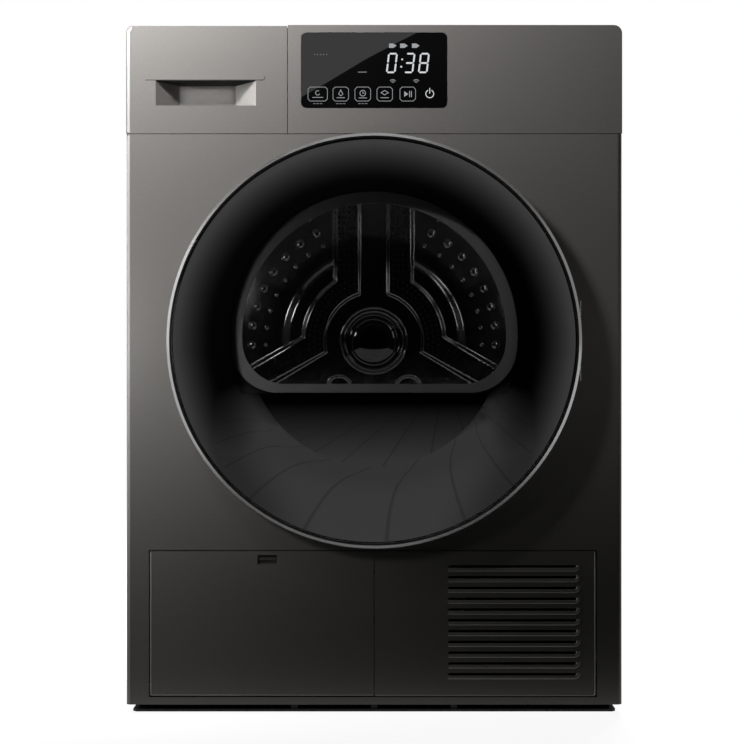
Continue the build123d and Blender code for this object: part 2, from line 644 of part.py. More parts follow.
with BuildPart() as filter_cover:
    block(cover_x0 + 4, cover_x1 - 4, cover_plate_y, cover_front_y, tray_wall_top_z + 8, cover_top_z - 6)
    block(cover_x0 + 4, cover_x1 - 4, cover_plate_y, cover_front_y, tray_top_z, tray_wall_top_z + 8)
    fillet(filter_cover.edges().filter_by(Axis.Y), 3)
    for z in (66.0, 90.0, 114.0):
        block(cover_x0 + 24, lever_x - 40, cover_plate_y - 2, cover_plate_y, z, z + 4)
    rod_y(lever_pin_r, cover_plate_y - 8.5, cover_plate_y, lever_x, lever_z)
filter_cover.part.label = "filter_cover"
export_step(filter_cover.part, "parts/filter_cover.step")

with BuildPart() as cover_lever:
    lever_y0 = cover_plate_y - 7
    lever_y1 = cover_plate_y - slide_gap
    rod_y(9, lever_y0, lever_y1, lever_x, lever_z)
    block(lever_x - 6, lever_x + 6, lever_y0, lever_y1, lever_z, lever_z + 36)
    rod_y(lever_pin_r + run_fit, lever_y0 - 1, lever_y1 + 1, lever_x, lever_z, mode=Mode.SUBTRACT)
cover_lever.part.label = "cover_lever"
export_step(cover_lever.part, "parts/cover_lever.step")

with BuildPart() as heat_exchangers:
    coil_x0 = cover_x0 + tunnel_wall + 6
    coil_x1 = cover_x1 - tunnel_wall - 6
    for y0, y1 in ((-190.0, -120.0), (-90.0, 40.0)):
        for x in (coil_x0, coil_x1 - 1.5):
            block(x, x + 1.5, y0, y1, tray_top_z, cover_top_z - 10)
        fin_count = 15
        for fin in range(1, fin_count):
            fin_x = coil_x0 + fin * (coil_x1 - coil_x0) / fin_count
            block(fin_x, fin_x + 0.6, y0, y1, tray_top_z + 6, cover_top_z - 14)
        for y in (y0 + 18, y1 - 18):
            for z in (30.0, 65.0, 100.0, 135.0):
                rod_x(4, coil_x0, coil_x1, y, z)
heat_exchangers.part.label = "heat_exchangers"
export_step(heat_exchangers.part, "parts/heat_exchangers.step")

with BuildPart() as compressor:
    rod_z(compressor_r, 25, compressor_top_z, compressor_x, compressor_y)
    fillet(compressor.edges().group_by(Axis.Z)[-1], 22)
    for turn in range(3):
        foot_angle = radians(30 + 120 * turn)
        rod_z(9, tray_top_z, 30, compressor_x + (compressor_r - 6) * cos(foot_angle),
              compressor_y + (compressor_r - 6) * sin(foot_angle))
    rod_z(14, compressor_top_z - 4, compressor_top_z + 14, compressor_x, compressor_y)
compressor.part.label = "compressor"
export_step(compressor.part, "parts/compressor.step")

with BuildPart() as water_pump:
    block(pump_x - 30, pump_x + 30, pump_y - 30, pump_y + 30, tray_top_z, 20)
    rod_z(26, 20, 58, pump_x, pump_y)
    rod_z(18, 58, 80, pump_x, pump_y)
    rod_y(hose_r - hose_wall, pump_y, pump_y + 42, pump_x, hose_low_z)
water_pump.part.label = "water_pump"
export_step(water_pump.part, "parts/water_pump.step")

hose_y = cab_back_y - 20
nozzle_z = rail_z + 12
with BuildPart() as pump_hose:
    with BuildLine():
        FilletPolyline((pump_x, pump_y + 32, hose_low_z), (pump_x, hose_y, hose_low_z),
                       (spigot_x, hose_y, hose_low_z),
                       (spigot_x, hose_y, nozzle_z), (spigot_x, tank_tray_back_y + 2, nozzle_z),
                       radius=hose_bend_r)
    with BuildSketch(Plane.XZ.offset(-pump_y - 32)):
        with Locations((pump_x, hose_low_z)):
            Circle(hose_r)
            Circle(hose_r - hose_wall, mode=Mode.SUBTRACT)
    sweep()
pump_hose.part.label = "pump_hose"
export_step(pump_hose.part, "parts/pump_hose.step")

with BuildPart() as drain_spigot:
    rod_y(spigot_r + 5, cab_back_y, cab_back_y + 2, spigot_x, spigot_z)
    rod_y(spigot_r, side_back_y - 4, cab_back_y + duct_depth - 0.5, spigot_x, spigot_z)
    rod_y(spigot_bore_r, side_back_y - 5, cab_back_y + duct_depth + 1, spigot_x, spigot_z,
          mode=Mode.SUBTRACT)
drain_spigot.part.label = "drain_spigot"
export_step(drain_spigot.part, "parts/drain_spigot.step")

with BuildPart() as mains_inlet:
    rod_y(inlet_bore_r + 9, cab_back_y, cab_back_y + 4, inlet_x, inlet_z)
    rod_y(inlet_bore_r + 3.8, side_back_y - 8, cab_back_y + 12, inlet_x, inlet_z)
    rod_y(inlet_bore_r, side_back_y - 9, cab_back_y + 13, inlet_x, inlet_z, mode=Mode.SUBTRACT)
mains_inlet.part.label = "mains_inlet"
export_step(mains_inlet.part, "parts/mains_inlet.step")

# ---- Drum ----
with BuildPart() as drum_shell:
    outer = [(drum_front_y, drum_rim_r), (drum_front_y + rim_length, drum_rim_r),
             (drum_front_y + rim_length + rim_step, drum_r), (drum_back_y - rim_length - rim_step, drum_r),
             (drum_back_y - rim_length, drum_rim_r), (drum_back_y, drum_rim_r)]
    inner = [(y, r - drum_sheet) for y, r in reversed(outer)]
    ring_section(drum_plane, drum_axis, outer + inner)
drum_shell.part.label = "drum_shell"
export_step(drum_shell.part, "parts/drum_shell.step")

wall_r = drum_rim_r - drum_sheet - 0.2
with BuildPart() as drum_rear_wall:
    rod_y(wall_r, drum_wall_y, drum_wall_y + 1.5, 0, drum_z)
    # Raised star: a hub and three spokes, with a channel along each spoke.
    with BuildSketch(Plane.XZ.offset(-drum_wall_y)) as star:
        with Locations((0, drum_z)):
            Circle(hub_r)
            with PolarLocations(wall_r / 2, 3, start_angle=90):
                Rectangle(wall_r, 2 * spoke_half_width)
            Circle(wall_r - 6, mode=Mode.INTERSECT)
    extrude(star.sketch, amount=star_height)
    with BuildSketch(Plane.XZ.offset(-drum_wall_y + star_height)) as channels:
        with Locations((0, drum_z)):
            with PolarLocations((wall_r + hub_r) / 2, 3, start_angle=90):
                Rectangle(wall_r - hub_r - 20, 2 * spoke_channel)
    extrude(channels.sketch, amount=-star_height + 3, mode=Mode.SUBTRACT)
    # Flange and bore for the shaft.
    rod_y(38, drum_wall_y + 1.5, drum_wall_y + 8, 0, drum_z)
    rod_y(drum_shaft_r, drum_wall_y - star_height - 1, drum_wall_y + 9, 0, drum_z, mode=Mode.SUBTRACT)
    # Air holes on arcs between the spokes.
    air_plane = Plane.XZ.offset(-drum_wall_y + 1)
    for arc_r, count in ((180.0, 8), (214.0, 10), (246.0, 12)):
        with BuildSketch(air_plane) as holes:
            with Locations((0, drum_z)):
                for first in (30.0, 150.0, 270.0):
                    reach = 60 - degrees(atan2(spoke_half_width + 12, arc_r))
                    with PolarLocations(arc_r, count, start_angle=first - reach,
                                        angular_range=2 * reach, endpoint=True):
                        Circle(4)
        extrude(holes.sketch, amount=-4, mode=Mode.SUBTRACT)
drum_rear_wall.part.label = "drum_rear_wall"
export_step(drum_rear_wall.part, "parts/drum_rear_wall.step")

with BuildPart() as drum_hub_cap:
    cap_y = drum_wall_y - star_height
    rod_y(hub_cap_r, cap_y - 3, cap_y, 0, drum_z)
    rod_y(hub_cap_r - 12, cap_y - 9, cap_y - 3, 0, drum_z)
    fillet(drum_hub_cap.edges().group_by(Axis.Y)[0], 4)
drum_hub_cap.part.label = "drum_hub_cap"
export_step(drum_hub_cap.part, "parts/drum_hub_cap.step")

lifter_base_r = drum_r - drum_sheet - 0.3
lifter_foot_r = sqrt(lifter_base_r ** 2 - lifter_half_width ** 2)
with BuildSketch() as lifter_outline:
    with BuildLine():
        flank = Polyline((lifter_foot_r, -lifter_half_width), (lifter_base_r - lifter_height, -8),
                         (lifter_base_r - lifter_height, 8), (lifter_foot_r, lifter_half_width))
        ThreePointArc(flank @ 1, (lifter_base_r, 0), flank @ 0)
    make_face()
with BuildPart() as drum_lifters:
    lifter_y0 = drum_front_y + rim_length + 12
    lifter_y1 = drum_wall_y - star_height - 6
    with BuildSketch(Plane.XZ.offset(-lifter_y0)) as lifter:
        with Locations((0, drum_z)):
            with PolarLocations(0, 3, start_angle=30):
                add(lifter_outline.sketch)
    extrude(lifter.sketch, amount=-(lifter_y1 - lifter_y0))
drum_lifters.part.label = "drum_lifters"
export_step(drum_lifters.part, "parts/drum_lifters.step")

with BuildPart() as drum_shaft:
    shaft_back_y = rear_bulkhead_y + 14
    rod_y(drum_shaft_r, cap_y, shaft_back_y, 0, drum_z)
    chamfer(drum_shaft.edges().group_by(Axis.Y)[-1], 1)
drum_shaft.part.label = "drum_shaft"
export_step(drum_shaft.part, "parts/drum_shaft.step")

# ---- Bulkheads that carry the drum ----
pouch_half_x = filter_half_x + filter_fit
with BuildPart() as front_bulkhead:
    block(-inner_x, inner_x, bulk_front_y, front_bulkhead_y, bulkhead_bottom_z, rail_z - 4)
    rod_y(drum_rim_r, bulk_front_y, front_bulkhead_y, 0, drum_z)
    rod_y(throat_r + throat_wall, skin_back_y, bulk_front_y, 0, door_z)
    block(-pouch_half_x - pouch_wall, pouch_half_x + pouch_wall, pouch_front_y, pouch_back_y,
          filter_z0 - filter_fit - pouch_wall, door_z - throat_r + 20)
    rod_y(throat_r, skin_back_y - 1, front_bulkhead_y + 1, 0, door_z, mode=Mode.SUBTRACT)
    block(-pouch_half_x, pouch_half_x, pouch_front_y + pouch_wall, pouch_back_y,
          filter_z0 - filter_fit, door_z - throat_r + 60, mode=Mode.SUBTRACT)
    # Air leaves the pouch downwards.
    block(-pouch_half_x + 12, pouch_half_x - 12, pouch_front_y + pouch_wall + 4, pouch_back_y - 4,
          filter_z0 - 10, filter_z0, mode=Mode.SUBTRACT)
    for side in (-1, 1):
        rod_y(roller_axle_r, bulk_front_y - 1, front_bulkhead_y + 1, side * roller_dx, roller_z,
              mode=Mode.SUBTRACT)
front_bulkhead.part.label = "front_bulkhead"
export_step(front_bulkhead.part, "parts/front_bulkhead.step")

with BuildPart() as rear_bulkhead:
    bulk_sheet = 1.5
    block(-inner_x, inner_x, rear_bulkhead_y, rear_bulkhead_y + bulk_sheet, scroll_r + motor_z + 8,
          worktop_z - 5)
    # Turned ring that carries the rear felt.
    rod_y(drum_rim_r + 3, drum_back_y + 8, rear_bulkhead_y, 0, drum_z)
    rod_y(drum_rim_r + 1.5, drum_back_y + 7, rear_bulkhead_y, 0, drum_z, mode=Mode.SUBTRACT)
    # Air passage as twelve slots round the bearing housing.
    with Locations(Location((0, rear_bulkhead_y, drum_z), (90, 0, 0))):
        with PolarLocations(150, 12):
            Box(120, 34, 4 * bulk_sheet, mode=Mode.SUBTRACT)
    rod_y(bearing_r + 4, rear_bulkhead_y - 12, rear_bulkhead_y + 14, 0, drum_z)
    rod_y(bearing_r + run_fit, rear_bulkhead_y - 8, rear_bulkhead_y + 15, 0, drum_z, mode=Mode.SUBTRACT)
    rod_y(drum_shaft_r + 4, rear_bulkhead_y - 13, rear_bulkhead_y, 0, drum_z, mode=Mode.SUBTRACT)
    rod_y(hose_r + 1, rear_bulkhead_y - 1, rear_bulkhead_y + 3, spigot_x, nozzle_z, mode=Mode.SUBTRACT)
rear_bulkhead.part.label = "rear_bulkhead"
export_step(rear_bulkhead.part, "parts/rear_bulkhead.step")

with BuildPart() as drum_bearing:
    rod_y(bearing_r, rear_bulkhead_y - 8, rear_bulkhead_y + 10, 0, drum_z)
    rod_y(drum_shaft_r + run_fit, rear_bulkhead_y - 9, rear_bulkhead_y + 11, 0, drum_z, mode=Mode.SUBTRACT)
drum_bearing.part.label = "drum_bearing"
export_step(drum_bearing.part, "parts/drum_bearing.step")

with BuildPart() as drum_felts:
    felt_r0 = drum_rim_r - felt_width
    for y0, y1, felt_r1 in ((front_bulkhead_y, drum_front_y - slide_gap, drum_rim_r),
                            (drum_back_y + slide_gap, drum_back_y + 8, drum_rim_r + 3)):
        ring_section(drum_plane, drum_axis, [(y0, felt_r0), (y1, felt_r0), (y1, felt_r1), (y0, felt_r1)])
drum_felts.part.label = "drum_felts"
export_step(drum_felts.part, "parts/drum_felts.step")

roller_y0 = roller_y - roller_width / 2
roller_y1 = roller_y + roller_width / 2
with BuildPart() as roller_axles:
    for side in (-1, 1):
        rod_y(roller_axle_r, bulk_front_y, roller_y1 + 5, side * roller_dx, roller_z)
        rod_y(roller_axle_r + 5, front_bulkhead_y, roller_y0 - slide_gap, side * roller_dx, roller_z)
        rod_y(roller_axle_r + 4, roller_y1 + slide_gap, roller_y1 + 3, side * roller_dx, roller_z)
roller_axles.part.label = "roller_axles"
export_step(roller_axles.part, "parts/roller_axles.step")

for side, name in ((-1, "drum_roller_left"), (1, "drum_roller_right")):
    with BuildPart() as drum_roller:
        rod_y(roller_r, roller_y0, roller_y1, side * roller_dx, roller_z)
        for y0, y1 in ((roller_y0 - 1, roller_y0 + 6), (roller_y1 - 6, roller_y1 + 1)):
            rod_y(roller_r - 8, y0, y1, side * roller_dx, roller_z, mode=Mode.SUBTRACT)
        rod_y(roller_axle_r + 5, roller_y0, roller_y1, side * roller_dx, roller_z)
        rod_y(roller_axle_r + run_fit, roller_y0 - 1, roller_y1 + 1, side * roller_dx, roller_z,
              mode=Mode.SUBTRACT)
    drum_roller.part.label = name
    export_step(drum_roller.part, f"parts/{name}.step")

# ---- Motor, belt, tensioner and fan ----
with BuildPart() as motor_housing:
    rod_y(motor_r, motor_front_y, motor_back_y, motor_x, motor_z)
    fillet(motor_housing.edges().filter_by(GeomType.CIRCLE), 6)
    for y in (motor_front_y + 12, motor_back_y - 24):
        block(motor_x - 40, motor_x + 40, y, y + 12, tray_top_z, motor_z - 20)
    rod_y(motor_r - 5, motor_front_y + 6, motor_back_y - 6, motor_x, motor_z, mode=Mode.SUBTRACT)
    rod_y(motor_shaft_r + 6, motor_front_y - 1, motor_back_y + 1, motor_x, motor_z, mode=Mode.SUBTRACT)
    # Pin that the belt tensioner swings on.
    rod_y(9, motor_front_y - 3, motor_front_y + 8, arm_pivot_x, arm_pivot_z)
    rod_y(arm_pin_r, belt_y - belt_width / 2 + 2, motor_front_y, arm_pivot_x, arm_pivot_z)
    # Bearing rings at both ends.
    for y in (motor_front_y + 1, motor_back_y - 7):
        rod_y(motor_shaft_r + 7, y, y + 6, motor_x, motor_z)
        rod_y(motor_shaft_r + run_fit, y - 1, y + 7, motor_x, motor_z, mode=Mode.SUBTRACT)
motor_housing.part.label = "motor_housing"
export_step(motor_housing.part, "parts/motor_housing.step")

belt_y0 = belt_y - belt_width / 2
belt_y1 = belt_y + belt_width / 2
fan_y1 = scroll_back_y - 10
with BuildPart() as motor_rotor:
    rod_y(motor_shaft_r, belt_y0 - 6, fan_y1, motor_x, motor_z)
    rod_y(motor_r - 16, motor_front_y + 20, motor_back_y - 20, motor_x, motor_z)
    rod_y(pulley_r, belt_y0 - 1, belt_y1 + 1, motor_x, motor_z)
    for y in (belt_y0 - 2.4, belt_y1 + 0.6):
        rod_y(pulley_r + 3, y, y + 1.6, motor_x, motor_z)
motor_rotor.part.label = "motor_rotor"
export_step(motor_rotor.part, "parts/motor_rotor.step")

with BuildPart() as fan_impeller:
    fan_y0 = scroll_front_y + 8
    rod_y(fan_r, fan_y1 - 2, fan_y1, motor_x, motor_z)
    rod_y(motor_shaft_r + 5, fan_y0, fan_y1, motor_x, motor_z)
    with Locations(Location((motor_x, (fan_y0 + fan_y1) / 2, motor_z), (90, 0, 0))):
        with PolarLocations(fan_r - 11, fan_blades):
            Box(20, 1.5, fan_y1 - fan_y0, rotation=(0, 0, 25))
    ring_y1 = fan_y0 + 3
    with BuildSketch(Plane.XZ.offset(-fan_y0)) as fan_ring:
        with Locations((motor_x, motor_z)):
            Circle(fan_r)
            Circle(fan_r - 20, mode=Mode.SUBTRACT)
    extrude(fan_ring.sketch, amount=-(ring_y1 - fan_y0))
    rod_y(motor_shaft_r, fan_y0 - 1, fan_y1 + 1, motor_x, motor_z, mode=Mode.SUBTRACT)
fan_impeller.part.label = "fan_impeller"
export_step(fan_impeller.part, "parts/fan_impeller.step")

with BuildPart() as fan_scroll:
    outlet_z0 = motor_z + 15
    outlet_z1 = motor_z + scroll_r - 6
    rod_y(scroll_r, scroll_front_y, scroll_back_y, motor_x, motor_z)
    block(motor_x - 50, motor_x + 50, scroll_front_y + 10, side_back_y, outlet_z0, outlet_z1)
    rod_y(scroll_r - scroll_wall, scroll_front_y + scroll_wall, scroll_back_y - scroll_wall,
          motor_x, motor_z, mode=Mode.SUBTRACT)
    block(motor_x - 47, motor_x + 47, scroll_front_y + 20, side_back_y + 1, outlet_z0 + 3, outlet_z1 - 3,
          mode=Mode.SUBTRACT)
    rod_y(45, scroll_front_y - 1, scroll_front_y + 4, motor_x, motor_z, mode=Mode.SUBTRACT)
    # Feet on the base tray.
    for x in (motor_x - 40, motor_x + 30):
        block(x, x + 10, scroll_front_y + 10, scroll_back_y - 6, tray_top_z, motor_z - scroll_r + 15)
        block(x, x + 10, scroll_front_y + 6, scroll_back_y - 3,
              motor_z - scroll_r + 2, motor_z - scroll_r + 12)
    rod_y(scroll_r - scroll_wall, scroll_front_y + scroll_wall, scroll_back_y - scroll_wall,
          motor_x, motor_z, mode=Mode.SUBTRACT)
fan_scroll.part.label = "fan_scroll"
export_step(fan_scroll.part, "parts/fan_scroll.step")

# The belt runs round the drum and the motor's pulley; its slack run faces the tensioner.
run_dx = motor_x
run_dz = motor_z - drum_z
run_span = hypot(run_dx, run_dz)
belt_in_r = drum_r + belt_gap
belt_in_pulley = pulley_r + belt_gap
lean = atan2(run_dz, run_dx)
spread = sqrt(run_span ** 2 - (belt_in_r - belt_in_pulley) ** 2)
open_angle = atan2(spread, belt_in_r - belt_in_pulley)
normal_angle = lean - open_angle
normal_x = cos(normal_angle)
normal_z = sin(normal_angle)
with BuildPart() as drive_belt:
    for extra, mode in ((belt_thick, Mode.ADD), (0.0, Mode.SUBTRACT)):
        with BuildSketch(Plane.XZ.offset(-belt_y0)) as belt_loop:
            with Locations((0, drum_z)):
                Circle(belt_in_r + extra)
            with Locations((motor_x, motor_z)):
                Circle(belt_in_pulley + extra)
            make_hull()
        extrude(belt_loop.sketch, amount=-belt_width, mode=mode)
drive_belt.part.label = "drive_belt"
export_step(drive_belt.part, "parts/drive_belt.step")

run_start = (normal_x * (belt_in_r + belt_thick), drum_z + normal_z * (belt_in_r + belt_thick))
run_end = (motor_x + normal_x * (belt_in_pulley + belt_thick),
           motor_z + normal_z * (belt_in_pulley + belt_thick))
idler_x = run_start[0] + idler_along * (run_end[0] - run_start[0]) + normal_x * (idler_r + belt_gap)
idler_z = run_start[1] + idler_along * (run_end[1] - run_start[1]) + normal_z * (idler_r + belt_gap)
arm_y0 = belt_y1 + 2
arm_y1 = arm_y0 + 4
with BuildPart() as tension_arm:
    rod_y(9, arm_y0, motor_front_y - 3 - slide_gap, arm_pivot_x, arm_pivot_z)
    rod_y(7, arm_y0, arm_y1, idler_x, idler_z)
    arm_length = hypot(idler_x - arm_pivot_x, idler_z - arm_pivot_z)
    arm_angle = degrees(atan2(idler_z - arm_pivot_z, idler_x - arm_pivot_x))
    with Locations(Location(((idler_x + arm_pivot_x) / 2, (arm_y0 + arm_y1) / 2,
                             (idler_z + arm_pivot_z) / 2), (0, -arm_angle, 0))):
        Box(arm_length, arm_y1 - arm_y0, 12)
    rod_y(arm_pin_r + run_fit, arm_y0 - 1, motor_front_y, arm_pivot_x, arm_pivot_z, mode=Mode.SUBTRACT)
    rod_y(idler_axle_r, belt_y0 - 3, arm_y1, idler_x, idler_z)
tension_arm.part.label = "tension_arm"
export_step(tension_arm.part, "parts/tension_arm.step")

with BuildPart() as idler_wheel:
    rod_y(idler_r, belt_y0, belt_y1, idler_x, idler_z)
    rod_y(idler_axle_r + run_fit, belt_y0 - 1, belt_y1 + 1, idler_x, idler_z, mode=Mode.SUBTRACT)
idler_wheel.part.label = "idler_wheel"
export_step(idler_wheel.part, "parts/idler_wheel.step")

# ---- Lint filter ----
filter_y1 = pouch_back_y - filter_fit
filter_y0 = filter_y1 - filter_depth
with BuildPart() as lint_filter:
    for wall, mode in ((0.0, Mode.ADD), (filter_wall, Mode.SUBTRACT)):
        with BuildSketch(Plane.XZ.offset(-filter_y0 - wall)) as filter_face:
            with Locations((0, door_z - throat_r)):
                Rectangle(2 * (filter_half_x - wall), 2 * (door_z - throat_r - filter_z0 - wall))
            with Locations((0, door_z)):
                Circle(throat_r + 0.5 + 1.5 * wall, mode=Mode.SUBTRACT)
        extrude(filter_face.sketch, amount=-(filter_depth - 2 * wall), mode=mode)
    # Grille on top that the air goes in by, and the opening down to the heat pump.
    for column in range(-4, 5):
        block(column * 17 - 6, column * 17 + 6, filter_y0 + 4, filter_y1 - 4, door_z - throat_r - 10,
              door_z - throat_r + 26, mode=Mode.SUBTRACT)
    block(-filter_half_x + 14, filter_half_x - 14, filter_y0 + 4, filter_y1 - 4, filter_z0 - 1,
          filter_z0 + 3, mode=Mode.SUBTRACT)
lint_filter.part.label = "lint_filter"
export_step(lint_filter.part, "parts/lint_filter.step")

# ---- Door ----
pocket_y = lens_seat_y
with BuildPart() as door_ring:
    ring_section(door_plane, door_axis,
                 [(door_back_y, ring_inner_r), (door_back_y, ring_r - 4.5), (door_back_y - 7, ring_r),
                  (ring_front_y + 4, ring_r), (ring_front_y, ring_r - 3.7), (ring_front_y, ring_inner_r),
                  (lens_seat_y, ring_inner_r), (lens_seat_y, ring_inner_r - lens_ledge),
                  (frame_front_y, ring_inner_r - lens_ledge), (frame_front_y, ring_inner_r)])
    # Finger relief on the left, hinge pocket on the right.
    block(-ring_r - 5, grip_x, pocket_y, cab_front_y, door_z - grip_half, door_z + grip_half,
          mode=Mode.SUBTRACT)
    block(hinge_pocket_x, ring_r + 5, pocket_y, cab_front_y,
          door_z - hinge_plate_half - 4, door_z + hinge_plate_half + 4, mode=Mode.SUBTRACT)
door_ring.part.label = "door_ring"
export_step(door_ring.part, "parts/door_ring.step")

with BuildPart() as door_lens:
    with BuildSketch(door_plane) as lens_section:
        with BuildLine():
            front = Line((lens_crown_y, 0), (lens_crown_y, lens_flat_r))
            rim_front = TangentArc(front @ 1, (lens_seat_y - lens_glass, lens_r), tangent=(0, 1))
            rim = Line(rim_front @ 1, (lens_seat_y, lens_r))
            back_y = lens_crown_y + lens_glass
            back = Line((back_y, 0), (back_y, lens_flat_r))
            TangentArc(back @ 1, rim @ 1, tangent=(0, 1))
            Line(front @ 0, back @ 0)
        make_face()
    revolve(lens_section.sketch, door_axis)
door_lens.part.label = "door_lens"
export_step(door_lens.part, "parts/door_lens.step")

bezel_r0 = window_r - bezel_band
bezel_base_z = window_base_z + bezel_band - 3
with BuildPart() as door_frame:
    ring_section(door_plane, door_axis,
                 [(frame_front_y, 0), (frame_front_y, frame_r), (door_back_y, frame_r),
                  (door_back_y, plug_r), (plug_back_y, plug_r), (plug_back_y, plug_r - plug_lip),
                  (plug_back_y - moulding, plug_r - plug_lip), (plug_back_y - moulding, plug_r - moulding),
                  (door_back_y - moulding, plug_r - moulding), (door_back_y - moulding, frame_r - moulding),
                  (frame_skin_back_y, frame_r - moulding), (frame_skin_back_y, 0)])
    extrude(window_outline(frame_front_y - 1, bezel_r0, bezel_base_z), amount=-moulding - 2,
            mode=Mode.SUBTRACT)
    block(-ring_r - 5, grip_x, pocket_y, cab_front_y, door_z - grip_half, door_z + grip_half,
          mode=Mode.SUBTRACT)
    block(hinge_pocket_x, ring_r + 5, pocket_y, cab_front_y,
          door_z - hinge_plate_half - 4, door_z + hinge_plate_half + 4, mode=Mode.SUBTRACT)
    # Hinge leaf with its barrel.
    block(hinge_pocket_x - 12, hinge_x, hinge_y - leaf_thick / 2, hinge_y + leaf_thick / 2,
          door_z - leaf_half, door_z + leaf_half)
    rod_z(hinge_barrel_r, door_z - leaf_half, door_z + leaf_half, hinge_x, hinge_y)
    rod_z(hinge_pin_r + run_fit, door_z - leaf_half - 1, door_z + leaf_half + 1, hinge_x, hinge_y,
          mode=Mode.SUBTRACT)
door_frame.part.label = "door_frame"
export_step(door_frame.part, "parts/door_frame.step")

with BuildPart() as window_bezel:
    bezel_y0 = frame_front_y - bezel_depth
    extrude(window_outline(bezel_y0, window_r, window_base_z), amount=-bezel_depth)
    extrude(window_outline(bezel_y0 - 1, bezel_r0, bezel_base_z), amount=-bezel_depth - 2,
            mode=Mode.SUBTRACT)
window_bezel.part.label = "window_bezel"
export_step(window_bezel.part, "parts/window_bezel.step")

bowl_front_y = frame_skin_back_y + 3
with BuildPart() as door_bowl:
    extrude(window_outline(frame_skin_back_y, window_r + 5, window_base_z - 5), amount=-3)
    loft([window_outline(bowl_front_y, bezel_r0 + 4, bezel_base_z - 4),
          window_outline(bowl_back_y, bowl_back_r, bezel_base_z + 8)])
    loft([window_outline(frame_skin_back_y, bezel_r0, bezel_base_z),
          window_outline(bowl_back_y - bowl_glass, bowl_back_r - bowl_glass, bezel_base_z + 8 + bowl_glass)],
         mode=Mode.SUBTRACT)
door_bowl.part.label = "door_bowl"
export_step(door_bowl.part, "parts/door_bowl.step")

with BuildPart() as door_seal:
    ring_section(door_plane, door_axis,
                 [(door_back_y, plug_r), (door_back_y, plug_r + seal_width),
                  (door_back_y + 3, plug_r + seal_width),
                  (door_back_y + 5, plug_r)])
door_seal.part.label = "door_seal"
export_step(door_seal.part, "parts/door_seal.step")

with BuildPart() as door_latch:
    block(latch_x - 3, latch_x + 3, door_back_y, door_back_y + 13, door_z - latch_half, door_z + latch_half)
    block(latch_x - 6, latch_x + 3, door_back_y + 9, door_back_y + 13,
          door_z - latch_half, door_z + latch_half)
    fillet(door_latch.edges().filter_by(Axis.Z).group_by(Axis.Y)[-1], 1.5)
door_latch.part.label = "door_latch"
export_step(door_latch.part, "parts/door_latch.step")

with BuildPart() as door_lock:
    block(latch_x - 14, latch_x + 8, skin_back_y, skin_back_y + 22,
          door_z - latch_half - 20, door_z + latch_half + 20)
    block(latch_x - 9, latch_x + 5.5, skin_back_y - 1, skin_back_y + 18,
          door_z - latch_half - 3, door_z + latch_half + 3, mode=Mode.SUBTRACT)
door_lock.part.label = "door_lock"
export_step(door_lock.part, "parts/door_lock.step")

with BuildPart() as hinge_bracket:
    plate_back_y = cab_front_y
    leg_x = hinge_x - 25.5
    block(hinge_x - 35.5, hinge_x - 7.5, plate_back_y - 2, plate_back_y,
          door_z - hinge_plate_half, door_z + hinge_plate_half)
    for z0, z1 in ((door_z - hinge_half, door_z - leaf_half - slide_gap),
                   (door_z + leaf_half + slide_gap, door_z + hinge_half)):
        block(leg_x, leg_x + leaf_thick, hinge_y - leaf_thick / 2, plate_back_y, z0, z1)
        block(leg_x, hinge_x, hinge_y - leaf_thick / 2, hinge_y + leaf_thick / 2, z0, z1)
        rod_z(hinge_barrel_r, z0, z1, hinge_x, hinge_y)
        rod_z(hinge_pin_r, z0 - 1, z1 + 1, hinge_x, hinge_y, mode=Mode.SUBTRACT)
hinge_bracket.part.label = "hinge_bracket"
export_step(hinge_bracket.part, "parts/hinge_bracket.step")

with BuildPart() as hinge_pin:
    rod_z(hinge_pin_r, door_z - hinge_half, door_z + hinge_half, hinge_x, hinge_y)
hinge_pin.part.label = "hinge_pin"
export_step(hinge_pin.part, "parts/hinge_pin.step")
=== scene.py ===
import bpy
import bmesh
import json
from math import asin, atan2, cos, hypot, pi, radians, sin
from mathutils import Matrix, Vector


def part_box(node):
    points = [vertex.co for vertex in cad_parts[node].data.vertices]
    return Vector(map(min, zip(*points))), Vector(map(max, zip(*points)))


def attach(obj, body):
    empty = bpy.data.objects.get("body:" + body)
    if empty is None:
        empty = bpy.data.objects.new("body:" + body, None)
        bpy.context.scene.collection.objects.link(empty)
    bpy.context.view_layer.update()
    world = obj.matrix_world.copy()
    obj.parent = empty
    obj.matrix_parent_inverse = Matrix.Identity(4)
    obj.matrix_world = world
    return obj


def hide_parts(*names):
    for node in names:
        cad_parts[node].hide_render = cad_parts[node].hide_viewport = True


# %% [markdown]
# # A heat-pump clothes dryer
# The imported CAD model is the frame. This script gives every piece its finish, replaces the drum's
# rear wall with a pressed one, draws the display, adds thin lips and hoods to the front, and sets up
# a small studio.
# Everything is in metres: +Z is up and the door faces -Y.

# %% Load the frame
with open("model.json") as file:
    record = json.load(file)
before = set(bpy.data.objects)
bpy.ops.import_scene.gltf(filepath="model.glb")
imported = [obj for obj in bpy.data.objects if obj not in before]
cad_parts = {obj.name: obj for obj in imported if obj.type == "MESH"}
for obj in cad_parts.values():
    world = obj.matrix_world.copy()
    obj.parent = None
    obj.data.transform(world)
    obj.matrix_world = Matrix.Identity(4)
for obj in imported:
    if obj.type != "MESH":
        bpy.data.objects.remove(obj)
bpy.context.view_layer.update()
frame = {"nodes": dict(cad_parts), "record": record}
nodes = frame["nodes"]
MM = 0.001

# %% [markdown]
# ## Places
# The places below are read from the CAD pieces, so that the script follows the model.


# %% Places read from the frame
def middle(node):
    low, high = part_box(node)
    return (low + high) / 2


